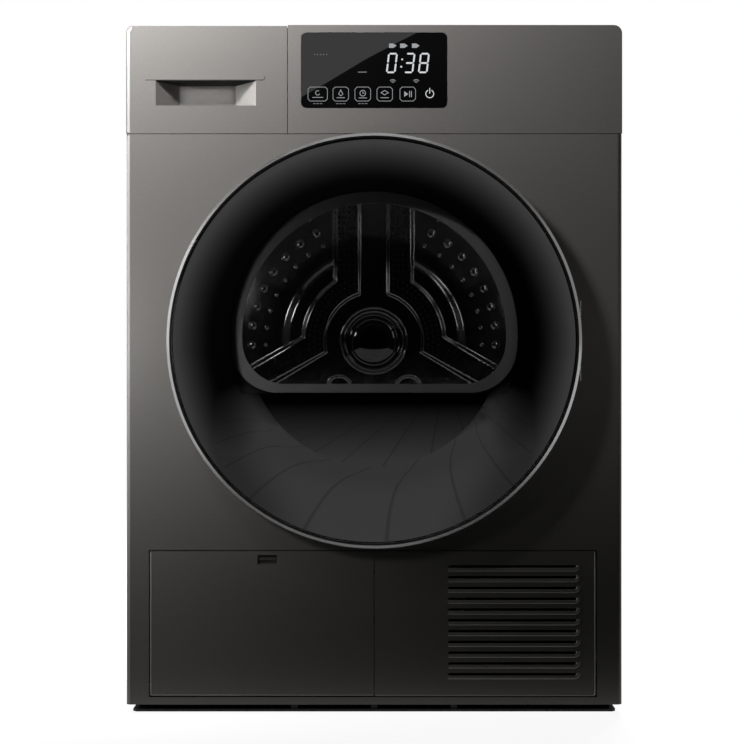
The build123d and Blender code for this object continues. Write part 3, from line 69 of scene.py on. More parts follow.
door_centre = middle("door_ring")
door_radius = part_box("door_ring")[1].x
lens_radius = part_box("door_lens")[1].x
drum_centre = middle("drum_shell")
drum_wall_low, drum_wall_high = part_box("drum_rear_wall")
drum_wall_radius = drum_wall_high.x
window_low, window_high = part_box("window_bezel")
window_radius = window_high.x
window_centre_z = window_high.z - window_radius
display_low, display_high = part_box("display_window")
display_centre = (display_low + display_high) / 2
print("door", round(door_radius, 4), "drum wall", round(drum_wall_radius, 4))

# %% [markdown]
# ## Shader groups
# Three small node groups carry the effects that many materials share: a fine grain that varies
# colour and roughness, a brushed streak, and a soft lightening of exposed edges.


# %% Tools for node trees
def new_group(name, inputs, outputs):
    """A shader node group with its sockets; returns the tree and its two end nodes."""
    tree = bpy.data.node_groups.new(name, "ShaderNodeTree")
    for label, kind, value in inputs:
        socket = tree.interface.new_socket(name=label, in_out="INPUT", socket_type=kind)
        socket.default_value = value
    for label, kind in outputs:
        tree.interface.new_socket(name=label, in_out="OUTPUT", socket_type=kind)
    return tree, tree.nodes.new("NodeGroupInput"), tree.nodes.new("NodeGroupOutput")


def math_node(tree, operation, a, b=0.0, clamp=False):
    """One math node; a and b are sockets or numbers."""
    node = tree.nodes.new("ShaderNodeMath")
    node.operation = operation
    node.use_clamp = clamp
    for slot, value in enumerate((a, b)):
        if isinstance(value, (int, float)):
            node.inputs[slot].default_value = value
        else:
            tree.links.new(value, node.inputs[slot])
    return node.outputs[0]


def distance_node(tree, across, up):
    squares = [math_node(tree, "POWER", value, 2.0) for value in (across, up)]
    return math_node(tree, "SQRT", math_node(tree, "ADD", *squares))


def map_range(tree, value, from_low, from_high, to_low=0.0, to_high=1.0, smooth=True):
    """A value moved from one range to another, clamped."""
    node = tree.nodes.new("ShaderNodeMapRange")
    node.interpolation_type = "SMOOTHSTEP" if smooth else "LINEAR"
    tree.links.new(value, node.inputs["Value"])
    for label, number in (("From Min", from_low), ("From Max", from_high),
                          ("To Min", to_low), ("To Max", to_high)):
        if isinstance(number, (int, float)):
            node.inputs[label].default_value = number
        else:
            tree.links.new(number, node.inputs[label])
    return node.outputs["Result"]


def mix_colour(tree, factor, a, b, blend="MIX"):
    """Two colours mixed; each argument is a socket or a value."""
    node = tree.nodes.new("ShaderNodeMix")
    node.data_type = "RGBA"
    node.blend_type = blend
    for slot, value in ((0, factor), (6, a), (7, b)):
        if hasattr(value, "is_output"):
            tree.links.new(value, node.inputs[slot])
        else:
            node.inputs[slot].default_value = value
    return node.outputs[2]


def noise(tree, vector, scale, detail=2.0, roughness=0.5):
    """A noise texture read at a vector."""
    node = tree.nodes.new("ShaderNodeTexNoise")
    node.inputs["Scale"].default_value = scale
    node.inputs["Detail"].default_value = detail
    node.inputs["Roughness"].default_value = roughness
    tree.links.new(vector, node.inputs["Vector"])
    return node.outputs["Fac"]


# %% The grain group
def make_grain_group():
    tree, ends_in, ends_out = new_group(
        "Fine grain",
        [("Color", "NodeSocketColor", (0.5, 0.5, 0.5, 1)), ("Spread", "NodeSocketFloat", 0.1),
         ("Roughness", "NodeSocketFloat", 0.5), ("Roughness spread", "NodeSocketFloat", 0.1),
         ("Scale", "NodeSocketFloat", 400.0)],
        [("Color", "NodeSocketColor"), ("Roughness", "NodeSocketFloat"), ("Height", "NodeSocketFloat")])
    place = tree.nodes.new("ShaderNodeTexCoord").outputs["Object"]
    fine = tree.nodes.new("ShaderNodeTexNoise")
    fine.inputs["Detail"].default_value = 3.0
    tree.links.new(place, fine.inputs["Vector"])
    tree.links.new(ends_in.outputs["Scale"], fine.inputs["Scale"])
    broad = noise(tree, place, 3.0, 2.0)
    centred = math_node(tree, "SUBTRACT", fine.outputs["Fac"], 0.5)
    drift = math_node(tree, "SUBTRACT", broad, 0.5)
    both = math_node(tree, "ADD", centred, math_node(tree, "MULTIPLY", drift, 0.35))
    gain = math_node(tree, "ADD", math_node(tree, "MULTIPLY", both, ends_in.outputs["Spread"]), 1.0)
    bright = tree.nodes.new("ShaderNodeHueSaturation")
    tree.links.new(ends_in.outputs["Color"], bright.inputs["Color"])
    tree.links.new(gain, bright.inputs["Value"])
    tree.links.new(bright.outputs["Color"], ends_out.inputs["Color"])
    rough = math_node(tree, "MULTIPLY", both, ends_in.outputs["Roughness spread"])
    rough = math_node(tree, "ADD", rough, ends_in.outputs["Roughness"], clamp=True)
    tree.links.new(rough, ends_out.inputs["Roughness"])
    tree.links.new(fine.outputs["Fac"], ends_out.inputs["Height"])
    return tree


def make_brushed_group():
    tree, ends_in, ends_out = new_group(
        "Brushed streaks",
        [("Color", "NodeSocketColor", (0.6, 0.6, 0.6, 1)), ("Spread", "NodeSocketFloat", 0.2),
         ("Roughness", "NodeSocketFloat", 0.3)],
        [("Color", "NodeSocketColor"), ("Roughness", "NodeSocketFloat"), ("Height", "NodeSocketFloat")])
    place = tree.nodes.new("ShaderNodeTexCoord").outputs["Object"]
    stretch = tree.nodes.new("ShaderNodeMapping")
    stretch.inputs["Scale"].default_value = (12.0, 12.0, 900.0)
    tree.links.new(place, stretch.inputs["Vector"])
    streak = noise(tree, stretch.outputs["Vector"], 1.0, 3.0)
    centred = math_node(tree, "SUBTRACT", streak, 0.5)
    gain = math_node(tree, "ADD", math_node(tree, "MULTIPLY", centred, ends_in.outputs["Spread"]), 1.0)
    bright = tree.nodes.new("ShaderNodeHueSaturation")
    tree.links.new(ends_in.outputs["Color"], bright.inputs["Color"])
    tree.links.new(gain, bright.inputs["Value"])
    tree.links.new(bright.outputs["Color"], ends_out.inputs["Color"])
    rough = math_node(tree, "ADD", math_node(tree, "MULTIPLY", centred, 0.25), ends_in.outputs["Roughness"])
    tree.links.new(rough, ends_out.inputs["Roughness"])
    tree.links.new(streak, ends_out.inputs["Height"])
    return tree


def make_edge_group():
    tree, ends_in, ends_out = new_group(
        "Worn edge",
        [("Color", "NodeSocketColor", (0.5, 0.5, 0.5, 1)), ("Wear", "NodeSocketColor", (0.8, 0.8, 0.8, 1)),
         ("Amount", "NodeSocketFloat", 0.5)],
        [("Color", "NodeSocketColor")])
    point = tree.nodes.new("ShaderNodeNewGeometry").outputs["Pointiness"]
    edge = map_range(tree, point, 0.52, 0.60)
    edge = math_node(tree, "MULTIPLY", edge, ends_in.outputs["Amount"])
    mixed = mix_colour(tree, edge, ends_in.outputs["Color"], ends_in.outputs["Wear"])
    tree.links.new(mixed, ends_out.inputs["Color"])
    return tree


grain_group = make_grain_group()
brushed_group = make_brushed_group()
edge_group = make_edge_group()
print("groups", [g.name for g in bpy.data.node_groups])

# %% [markdown]
# ## Materials
# Each finish is one short function call. Numbers that are the same all over a surface sit on the
# shader's own sockets; only what varies comes through a group.


# %% Building a material
def start_material(name, metallic=0.0, specular=0.5, coat=0.0, coat_roughness=0.1):
    material = bpy.data.materials.new(name)
    material.use_nodes = True
    tree = material.node_tree
    shader = tree.nodes["Principled BSDF"]
    shader.inputs["Metallic"].default_value = metallic
    shader.inputs["Specular IOR Level"].default_value = specular
    shader.inputs["Coat Weight"].default_value = coat
    shader.inputs["Coat Roughness"].default_value = coat_roughness
    return material, tree, shader


def use_group(tree, group, **values):
    node = tree.nodes.new("ShaderNodeGroup")
    node.node_tree = group
    for label, value in values.items():
        node.inputs[label.replace("_", " ")].default_value = value
    return node


def add_bump(tree, shader, height, strength, distance):
    bump = tree.nodes.new("ShaderNodeBump")
    bump.inputs["Strength"].default_value = strength
    bump.inputs["Distance"].default_value = distance
    tree.links.new(height, bump.inputs["Height"])
    tree.links.new(bump.outputs["Normal"], shader.inputs["Normal"])


def grained(name, colour, roughness, spread=0.15, scale=400.0, bump=0.1, wear=None, **shader_values):
    """A plain material with a fine grain: paint, mouldings, rubber."""
    material, tree, shader = start_material(name, **shader_values)
    grain = use_group(tree, grain_group, Color=(*colour, 1), Spread=spread, Roughness=roughness,
                      Roughness_spread=0.12, Scale=scale)
    colour_out = grain.outputs["Color"]
    if wear:
        edge = use_group(tree, edge_group, Wear=(*wear, 1), Amount=0.5)
        tree.links.new(colour_out, edge.inputs["Color"])
        colour_out = edge.outputs["Color"]
    tree.links.new(colour_out, shader.inputs["Base Color"])
    tree.links.new(grain.outputs["Roughness"], shader.inputs["Roughness"])
    add_bump(tree, shader, grain.outputs["Height"], bump, 0.0002)
    return material


def brushed(name, colour, roughness, spread=0.25, **shader_values):
    """Bare metal with fine streaks."""
    material, tree, shader = start_material(name, metallic=1.0, **shader_values)
    streaks = use_group(tree, brushed_group, Color=(*colour, 1), Spread=spread, Roughness=roughness)
    tree.links.new(streaks.outputs["Color"], shader.inputs["Base Color"])
    tree.links.new(streaks.outputs["Roughness"], shader.inputs["Roughness"])
    add_bump(tree, shader, streaks.outputs["Height"], 0.08, 0.0001)
    return material


def glowing(name, colour, strength):
    """Lit marks behind the display glass."""
    material, tree, shader = start_material(name)
    place = tree.nodes.new("ShaderNodeTexCoord").outputs["Object"]
    flicker = map_range(tree, noise(tree, place, 900.0), 0.3, 0.7, 0.85, 1.0)
    lit = mix_colour(tree, flicker, (0, 0, 0, 1), (*colour, 1))
    tree.links.new(lit, shader.inputs["Emission Color"])
    shader.inputs["Emission Strength"].default_value = strength
    shader.inputs["Base Color"].default_value = (0.02, 0.02, 0.02, 1)
    return material


# %% The finishes by the record's material slots
def make_paint(name):
    """Dark metallic paint: a warm grey with fine bright flakes under a thin clear coat."""
    material, tree, shader = start_material(name, metallic=0.55, coat=0.12, coat_roughness=0.35)
    grain = use_group(tree, grain_group, Color=(0.208, 0.198, 0.188, 1), Spread=0.10, Roughness=0.46,
                      Roughness_spread=0.06, Scale=900.0)
    place = tree.nodes.new("ShaderNodeTexCoord").outputs["Object"]
    flakes = tree.nodes.new("ShaderNodeTexVoronoi")
    flakes.inputs["Scale"].default_value = 2200.0
    tree.links.new(place, flakes.inputs["Vector"])
    sparkle = map_range(tree, flakes.outputs["Color"], 0.80, 1.0, 0.0, 0.22)
    colour_out = mix_colour(tree, sparkle, grain.outputs["Color"], (0.62, 0.60, 0.57, 1))
    tree.links.new(colour_out, shader.inputs["Base Color"])
    tree.links.new(grain.outputs["Roughness"], shader.inputs["Roughness"])
    add_bump(tree, shader, grain.outputs["Height"], 0.05, 0.0001)
    return material


def make_door_glass():
    """Tinted glass with a fade: a little lighter at the rim, black inside, clear in the window."""
    material, tree, shader = start_material("door_glass")
    place = tree.nodes.new("ShaderNodeTexCoord").outputs["Object"]
    axes = tree.nodes.new("ShaderNodeSeparateXYZ")
    tree.links.new(place, axes.inputs["Vector"])
    from_axis = math_node(tree, "SUBTRACT", axes.outputs["Z"], door_centre.z)
    reach = distance_node(tree, axes.outputs["X"], from_axis)
    fade = map_range(tree, reach, lens_radius * 0.88, lens_radius * 1.02, 0.0, 1.0)
    fade_colour = mix_colour(tree, fade, (0.0010, 0.0010, 0.0010, 1), (0.0030, 0.0030, 0.0030, 1))
    tree.links.new(fade_colour, shader.inputs["Base Color"])
    # The window: a circle cut off by a flat bottom.
    above = math_node(tree, "SUBTRACT", axes.outputs["Z"], window_centre_z)
    in_circle = distance_node(tree, axes.outputs["X"], above)
    round_side = map_range(tree, in_circle, window_radius - 0.001, window_radius + 0.003, 1.0, 0.0)
    flat_side = map_range(tree, axes.outputs["Z"], window_low.z - 0.003, window_low.z + 0.001, 0.0, 1.0)
    clear = math_node(tree, "MULTIPLY", round_side, flat_side)
    alpha = map_range(tree, clear, 0.0, 1.0, 1.0, 0.42, smooth=False)
    tree.links.new(alpha, shader.inputs["Alpha"])
    shader.inputs["Roughness"].default_value = 0.0
    return material


def make_band_with_painted_light():
    """The band round the window: painted light, far lighter than its own dark grey so that it shows through
    the glass, with painted shade darkening it towards the top.
    """
    material, tree, shader = start_material("window_band_painted_light")
    axes = tree.nodes.new("ShaderNodeSeparateXYZ")
    tree.links.new(tree.nodes.new("ShaderNodeTexCoord").outputs["Object"], axes.inputs["Vector"])
    # Painted shade: darker at the top, where little light reaches behind the door's glass; the whole band is
    # painted lighter than it is so that it shows through the glass.
    low = map_range(tree, axes.outputs["Z"], window_low.z, window_high.z, 1.0, 0.0, smooth=False)
    tree.links.new(mix_colour(tree, low, (0.42, 0.42, 0.42, 1), (0.60, 0.60, 0.60, 1)),
                   shader.inputs["Base Color"])
    shader.inputs["Roughness"].default_value = 0.6
    return material


def make_display_glass():
    """Black glass, a little uneven in depth."""
    material, tree, shader = start_material("display_black")
    place = tree.nodes.new("ShaderNodeTexCoord").outputs["Object"]
    depth = map_range(tree, noise(tree, place, 4.0), 0.3, 0.7)
    tree.links.new(mix_colour(tree, depth, (0.0014, 0.0014, 0.0015, 1), (0.0022, 0.0022, 0.0022, 1)),
                   shader.inputs["Base Color"])
    shader.inputs["Roughness"].default_value = 0.0
    return material


def make_clear_glass():
    material, tree, shader = start_material("bowl_glass", specular=0.5)
    grain = use_group(tree, grain_group, Color=(0.010, 0.011, 0.011, 1), Spread=0.05, Roughness=0.04,
                      Roughness_spread=0.03, Scale=30.0)
    tree.links.new(grain.outputs["Color"], shader.inputs["Base Color"])
    tree.links.new(grain.outputs["Roughness"], shader.inputs["Roughness"])
    shader.inputs["Alpha"].default_value = 0.08
    return material


def make_felt():
    material = grained("felt", (0.32, 0.31, 0.29), 0.95, spread=0.5, scale=1200.0, bump=0.6)
    return material


def make_mesh_screen():
    """Fine filter mesh: a woven lattice pressed into the surface."""
    material, tree, shader = start_material("filter_mesh", metallic=0.2)
    place = tree.nodes.new("ShaderNodeTexCoord").outputs["Object"]
    waves = []
    for direction in ("X", "Z"):
        wave = tree.nodes.new("ShaderNodeTexWave")
        wave.bands_direction = direction
        wave.inputs["Scale"].default_value = 300.0
        tree.links.new(place, wave.inputs["Vector"])
        waves.append(wave.outputs["Fac"])
    lattice = math_node(tree, "MAXIMUM", waves[0], waves[1])
    colour_out = mix_colour(tree, lattice, (0.10, 0.10, 0.10, 1), (0.42, 0.44, 0.45, 1))
    tree.links.new(colour_out, shader.inputs["Base Color"])
    shader.inputs["Roughness"].default_value = 0.6
    add_bump(tree, shader, lattice, 0.5, 0.0003)
    return material


finishes = {
    "body_paint": make_paint("body_paint"),
    "fascia_plastic": make_paint("fascia_paint"),
    "galvanised": brushed("galvanised", (0.48, 0.49, 0.50), 0.42, spread=0.35),
    "stainless": brushed("stainless", (0.58, 0.58, 0.57), 0.30),
    "chrome_trim": brushed("satin_chrome", (0.66, 0.66, 0.66), 0.22, spread=0.06),
    "dark_glass": make_door_glass(),
    "clear_glass": make_clear_glass(),
    "display_glass": make_display_glass(),
    "black_plastic": grained("black_plastic", (0.020, 0.020, 0.021), 0.5, scale=700.0, bump=0.3),
    "dark_plastic": grained("dark_plastic", (0.055, 0.055, 0.055), 0.5, scale=700.0, bump=0.3),
    "grey_plastic": grained("grey_plastic", (0.20, 0.20, 0.205), 0.5, scale=700.0, bump=0.3,
                            wear=(0.34, 0.34, 0.34)),
    "tank_plastic": grained("tank_plastic", (0.62, 0.64, 0.65), 0.35, spread=0.1, scale=200.0, bump=0.2),
    "rubber": grained("rubber", (0.022, 0.022, 0.022), 0.72, spread=0.3, scale=900.0, bump=0.4),
    "felt": make_felt(),
    "mesh": make_mesh_screen(),
    "aluminium": brushed("fin_aluminium", (0.66, 0.67, 0.68), 0.35),
    "board": grained("circuit_board", (0.02, 0.12, 0.055), 0.4, spread=0.4, scale=500.0),
    "machine_black": grained("machine_black", (0.018, 0.018, 0.019), 0.35, scale=500.0,
                             wear=(0.10, 0.10, 0.10)),
}
for entry in frame["record"]["subparts"]:
    piece = nodes[entry["node"]]
    piece.data.materials.clear()
    piece.data.materials.append(finishes[entry["material_slot"]])
nodes["window_bezel"].data.materials[0] = make_band_with_painted_light()
nodes["base_tray"].data.materials[0] = finishes["black_plastic"]


# %% [markdown]
# ## Making new pieces
# A new piece is a mesh at the origin, with its place in its vertices. It rides on a body and is
# given its material directly.


# %% Tools for new pieces
def new_piece(name, verts, faces, material, body, smooth=True):
    mesh = bpy.data.meshes.new(name)
    mesh.from_pydata(verts, [], faces)
    mesh.materials.append(material)
    for polygon in mesh.polygons:
        polygon.use_smooth = smooth
    mesh.update()
    piece = bpy.data.objects.new(name, mesh)
    bpy.context.scene.collection.objects.link(piece)
    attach(piece, body)
    return piece


def smoothstep(low, high, value):
    share = max(0.0, min(1.0, (value - low) / (high - low)))
    return share * share * (3 - 2 * share)


# %% [markdown]
# ## The drum's rear wall
# A pressed steel disc. Its height above the flat comes from one formula: a raised band that follows
# the three spokes and curves round the hub, a channel inside it and a terrace outside it. Domes and
# air holes repeat in rows, so a Geometry Nodes tree puts them on rows of points.

# %% Height of the pressed wall
SPOKES = (pi / 2, pi / 2 + 2 * pi / 3, pi / 2 + 4 * pi / 3)
SPOKE_HALF = 0.057
CHANNEL_HALF = 0.0206
CORE_RADIUS = 0.072
BAND_RADIUS = 0.104
TERRACE = (0.124, 0.136)
BAND_HEIGHT, CHANNEL_DEPTH, TERRACE_HEIGHT = 0.0088, 0.0058, 0.0046


def beside_spoke(radius, angle):
    """Distance to the axis of the nearest spoke."""
    return min(abs(radius * sin(angle - spoke)) for spoke in SPOKES if cos(angle - spoke) > 0)


def wall_height(radius, angle):
    """How far the wall stands towards the door at a place on it."""
    across = beside_spoke(radius, angle) if radius > 0 else 0.0
    band = 1 - min(smoothstep(SPOKE_HALF - 0.002, SPOKE_HALF + 0.002, across),
                   smoothstep(BAND_RADIUS - 0.002, BAND_RADIUS + 0.003, radius))
    core = 1 - min(smoothstep(CHANNEL_HALF - 0.001, CHANNEL_HALF + 0.002, across),
                   smoothstep(CORE_RADIUS - 0.001, CORE_RADIUS + 0.002, radius))
    terrace = 1 - smoothstep(*TERRACE, radius)
    rim_bead = smoothstep(0.006, 0.0, abs(radius - 0.262)) * 0.004
    return band * (BAND_HEIGHT - CHANNEL_DEPTH * core) + (1 - band) * TERRACE_HEIGHT * terrace + rim_bead


def turned(profile, axis_x_z, sectors):
    """Vertices and faces of a closed profile of (radius, y) points, turned about the Y direction."""
    centre_x, centre_z = axis_x_z
    verts, faces = [], []
    for radius, y in profile:
        for sector in range(sectors):
            angle = 2 * pi * sector / sectors
            verts.append((centre_x + radius * cos(angle), y, centre_z + radius * sin(angle)))
    for row in range(len(profile) - 1):
        for sector in range(sectors):
            nxt = (sector + 1) % sectors
            a, b = row * sectors, (row + 1) * sectors
            faces.append((a + sector, b + sector, b + nxt, a + nxt))
    return verts, faces


def face_outwards(mesh):
    """Joins doubled vertices and turns every face outwards."""
    shape = bmesh.new()
    shape.from_mesh(mesh)
    bmesh.ops.remove_doubles(shape, verts=shape.verts, dist=1e-6)
    bmesh.ops.recalc_face_normals(shape, faces=shape.faces)
    shape.to_mesh(mesh)
    shape.free()


def close_up(piece):
    face_outwards(piece.data)


wall_flat_y = drum_wall_low.y + 0.0098
drum_steel = grained("drum_steel", (0.34, 0.34, 0.345), 0.13, spread=0.06, scale=50.0, bump=0.0, metallic=1.0)
RINGS, SECTORS = 150, 432


def make_rear_wall():
    profile = [(drum_wall_radius * ring / RINGS, 0.0) for ring in range(RINGS + 1)]
    profile += [(drum_wall_radius, wall_flat_y + 0.0012), (0.0, wall_flat_y + 0.0012)]
    verts, faces = turned(profile, (0.0, drum_centre.z), SECTORS)
    for ring in range(RINGS + 1):
        for sector in range(SECTORS):
            at = ring * SECTORS + sector
            height = wall_height(profile[ring][0], 2 * pi * sector / SECTORS)
            verts[at] = (verts[at][0], wall_flat_y - height, verts[at][2])
    return new_piece("drum_wall_pressed", verts, faces, drum_steel, "drum")


rear_wall = make_rear_wall()
close_up(rear_wall)
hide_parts("drum_rear_wall")
print("rear wall faces", len(rear_wall.data.polygons))


# %% Hub cap with two beads and a glossy dome
hub_low, hub_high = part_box("drum_hub_cap")
hub_gloss = grained("hub_gloss", (0.13, 0.13, 0.13), 0.06, spread=0.05, bump=0.0, metallic=1.0)
DOME_RADIUS = 0.0335


def bead(radius, half, y, rise):
    """Points of a round bead, from its outer foot to its inner foot."""
    return [(radius + half * cos(pi * i / 8), y - rise * sin(pi * i / 8)) for i in range(9)]


def make_hub():
    profile = [(0.0, wall_flat_y - 0.001), (0.0505, wall_flat_y - 0.001), (0.0505, seat_y), (0.0400, seat_y)]
    profile += [(0.0400, seat_y + 0.002), (DOME_RADIUS + 0.0015, seat_y + 0.002)]
    profile += [(DOME_RADIUS * cos(pi / 2 * i / 20), seat_y - (seat_y - hub_low.y) * sin(pi / 2 * i / 20))
                for i in range(21)]
    verts, faces = turned(profile, (0.0, drum_centre.z), 96)
    return new_piece("drum_hub_dome", verts, faces, hub_gloss, "drum")


seat_y = hub_high.y - 0.001
for number, (radius, half) in enumerate(((0.0485, 0.0018), (0.0435, 0.0014))):
    ring = bead(radius, half, seat_y + 0.0003, 0.0020)
    verts, faces = turned(ring + [ring[0]], (0.0, drum_centre.z), 96)
    close_up(new_piece(f"drum_hub_ring_{number}", verts, faces, drum_steel, "drum"))
hub = make_hub()
close_up(hub)
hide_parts("drum_hub_cap")
for number, angle in enumerate((234, 306)):
    spot = (0.087 * cos(radians(angle)), drum_centre.z + 0.087 * sin(radians(angle)))
    boss_y = wall_flat_y - BAND_HEIGHT + 0.001
    face_y = boss_y - 0.0008
    outline = [(0.0, boss_y)] + bead(0.0200, 0.0022, boss_y, 0.0030) + [(0.0150, face_y), (0.0, face_y)]
    verts, faces = turned(outline, spot, 48)
    close_up(new_piece(f"drum_boss_{number}", verts, faces, drum_steel, "drum"))
print("hub dome radius", DOME_RADIUS)


# %% Tools for Geometry Nodes
def geometry_tree(name, inputs):
    """An empty tree with named inputs and one mesh output."""
    tree = bpy.data.node_groups.new(name, "GeometryNodeTree")
    for label, kind in inputs:
        tree.interface.new_socket(name=label, in_out="INPUT", socket_type=kind)
    tree.interface.new_socket(name="Geometry", in_out="OUTPUT", socket_type="NodeSocketGeometry")
    return tree, tree.nodes.new("NodeGroupInput"), tree.nodes.new("NodeGroupOutput")


def dress_copies(tree, copies, ends_in, ends_out, smooth):
    """Makes the copies real, gives them the Material input and sends them out."""
    real = tree.nodes.new("GeometryNodeRealizeInstances")
    tree.links.new(copies.outputs["Instances"], real.inputs["Geometry"])
    if smooth:
        soft = tree.nodes.new("GeometryNodeSetShadeSmooth")
        tree.links.new(real.outputs["Geometry"], soft.inputs["Geometry"])
        real = soft
    dress = tree.nodes.new("GeometryNodeSetMaterial")
    tree.links.new(real.outputs["Geometry"], dress.inputs["Geometry"])
    tree.links.new(ends_in.outputs["Material"], dress.inputs["Material"])
    tree.links.new(dress.outputs["Geometry"], ends_out.inputs["Geometry"])


def grown_piece(name, mesh, tree, values, body):
    """Runs a tree on a mesh and keeps the result as one plain piece."""
    carrier = bpy.data.objects.new(name + "_start", mesh)
    bpy.context.scene.collection.objects.link(carrier)
    modifier = carrier.modifiers.new("grow", "NODES")
    modifier.node_group = tree
    for item in tree.interface.items_tree:
        if item.in_out == "INPUT" and item.name in values:
            modifier[item.identifier] = values[item.name]
    bpy.context.view_layer.update()
    depsgraph = bpy.context.evaluated_depsgraph_get()
    plain = bpy.data.meshes.new_from_object(carrier.evaluated_get(depsgraph))
    bpy.data.objects.remove(carrier)
    piece = bpy.data.objects.new(name, plain)
    bpy.context.scene.collection.objects.link(piece)
    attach(piece, body)
    return piece


# %% A Geometry Nodes tree that puts a stud on every point
def make_stud_tool():
    """Flattened round studs on the points of a mesh; their size and finish are inputs."""
    tree, ends_in, ends_out = geometry_tree("Studs on points", (
        ("Points", "NodeSocketGeometry"), ("Stud", "NodeSocketFloat"), ("Flatness", "NodeSocketFloat"),
        ("Material", "NodeSocketMaterial")))
    stud = tree.nodes.new("GeometryNodeMeshUVSphere")
    stud.inputs["Segments"].default_value = 12
    stud.inputs["Rings"].default_value = 6
    tree.links.new(ends_in.outputs["Stud"], stud.inputs["Radius"])
    squash = tree.nodes.new("ShaderNodeCombineXYZ")
    squash.inputs["X"].default_value = 1.0
    squash.inputs["Z"].default_value = 1.0
    tree.links.new(ends_in.outputs["Flatness"], squash.inputs["Y"])
    flat = tree.nodes.new("GeometryNodeTransform")
    tree.links.new(stud.outputs["Mesh"], flat.inputs["Geometry"])
    tree.links.new(squash.outputs[0], flat.inputs["Scale"])
    copies = tree.nodes.new("GeometryNodeInstanceOnPoints")
    tree.links.new(ends_in.outputs["Points"], copies.inputs["Points"])
    tree.links.new(flat.outputs["Geometry"], copies.inputs["Instance"])
    dress_copies(tree, copies, ends_in, ends_out, smooth=True)
    return tree


stud_tool = make_stud_tool()


def studs(name, points, body, size, flatness, material):
    """Studs on a list of points, as one plain mesh piece."""
    mesh = bpy.data.meshes.new(name + "_points")
    mesh.from_pydata(points, [], [])
    return grown_piece(name, mesh, stud_tool, {"Stud": size, "Flatness": flatness, "Material": material},
                       body)


# %% Rows of domes and air holes
def on_wall(radius, angle, lift=0.0):
    """The place on the pressed wall at a radius and an angle."""
    return (radius * cos(angle), wall_flat_y - wall_height(radius, angle) - lift,
            drum_centre.z + radius * sin(angle))


# Near-black painted shade: it stands for the dark inside the air holes and the shade under the handle
# recess's lip.
shade_black_paint = grained("shade_in_holes_and_recess", (0.003, 0.003, 0.003), 0.8, spread=0.1, bump=0.0)
domes, small_domes, holes = [], [], []
for sector in range(3):
    mid = SPOKES[sector] - pi / 3
    for radius, count, row_of in ((0.181, 8, domes), (0.160, 8, small_domes), (0.204, 9, small_domes)):
        reach = radians(32)
        for step in range(count):
            row_of.append(on_wall(radius, mid - reach + 2 * reach * step / (count - 1)))
    for radius in (0.080, 0.088, 0.096):
        reach = pi / 3 - asin(min(1.0, (CHANNEL_HALF + 0.008) / radius))
        count = int(2 * reach * radius / 0.0075)
        holes += [on_wall(radius, mid - reach + 2 * reach * step / count) for step in range(count + 1)]
    for side in (-1, 1):
        for across in (0.028, 0.036, 0.044, 0.051):
            for step in range(18):
                along = 0.104 + 0.0078 * step
                holes.append(on_wall(hypot(along, across), SPOKES[sector] + side * atan2(across, along)))
studs("drum_domes", domes, "drum", 0.0068, 0.45, drum_steel)
studs("drum_small_domes", small_domes, "drum", 0.0036, 0.5, drum_steel)
studs("drum_air_holes", holes, "drum", 0.0019, 0.10, shade_black_paint)
print("domes", len(domes) + len(small_domes), "air holes", len(holes))

# %% [markdown]
# ## The display
# Lit marks lie on the black glass: a generic time in slanted seven-segment figures, three arrows,
# two small signal marks, five touch-key outlines with plain symbols and a power symbol. No lettering is used.

# %% Tools for flat marks
FACE_Y = display_low.y - 0.00012
marks = []


def flat_mark(name, loops, material):
    """Filled outlines that face forwards; each loop is a list of (x, z) in millimetres."""
    verts, faces = [], []
    for loop in loops:
        area = sum(a[0] * b[1] - b[0] * a[1] for a, b in zip(loop, loop[1:] + loop[:1]))
        order = range(len(verts), len(verts) + len(loop))
        faces.append(tuple(order) if area > 0 else tuple(reversed(order)))
        verts += [(display_centre.x + x * MM, FACE_Y, display_centre.z + z * MM) for x, z in loop]
    marks.append(name)
    return new_piece(name, verts, faces, material, "cabinet", smooth=False)


def stroke(points, width, closed=False):
    """Quads that follow a line of points, as a list of loops."""
    loops = []
    pairs = list(zip(points, points[1:] + points[:1])) if closed else list(zip(points, points[1:]))
    for (x0, z0), (x1, z1) in pairs:
        length = hypot(x1 - x0, z1 - z0)
        ax, az = (x1 - x0) / length * width / 2, (z1 - z0) / length * width / 2
        loops.append([(x0 - ax + az, z0 - az - ax), (x0 - ax - az, z0 - az + ax),
                      (x1 + ax - az, z1 + az + ax), (x1 + ax + az, z1 + az - ax)])
    return loops


def arc_points(x, z, radius, start, end, steps=16):
    """Points along an arc, angles in degrees."""
    return [(x + radius * cos(radians(start + (end - start) * i / steps)),
             z + radius * sin(radians(start + (end - start) * i / steps))) for i in range(steps + 1)]


# %% Time in seven-segment figures
SEGMENTS = {"0": "abcdef", "3": "abcdg", "8": "abcdefg"}
FIGURE_W, FIGURE_H, FIGURE_T, SLANT = 11.6, 24.4, 2.0, 0.12


def figure_loops(figure, x, z):
    """The lit segments of one figure, whose lower left corner is at x, z."""
    w, h, t = FIGURE_W, FIGURE_H, FIGURE_T
    gap = 0.35
    lying = {"a": h - t / 2, "g": h / 2, "d": t / 2}
    standing = {"f": (t / 2, h / 2), "b": (w - t / 2, h / 2), "e": (t / 2, 0), "c": (w - t / 2, 0)}
    loops = []
    for segment in SEGMENTS[figure]:
        if segment in lying:
            mid = lying[segment]
            loop = [(gap + t / 2, mid), (gap + t, mid + t / 2), (w - gap - t, mid + t / 2),
                    (w - gap - t / 2, mid), (w - gap - t, mid - t / 2), (gap + t, mid - t / 2)]
        else:
            mid, low = standing[segment]
            low, high = low + gap + t / 2, low + h / 2 - gap
            high = high if segment in "ec" else high - t / 2
            low = low if segment in "ec" else low - t / 2
            loop = [(mid, low), (mid - t / 2, low + t / 2), (mid - t / 2, high - t / 2),
                    (mid, high), (mid + t / 2, high - t / 2), (mid + t / 2, low + t / 2)]
        loops.append([(x + px + SLANT * pz, z + pz) for px, pz in loop])
    return loops


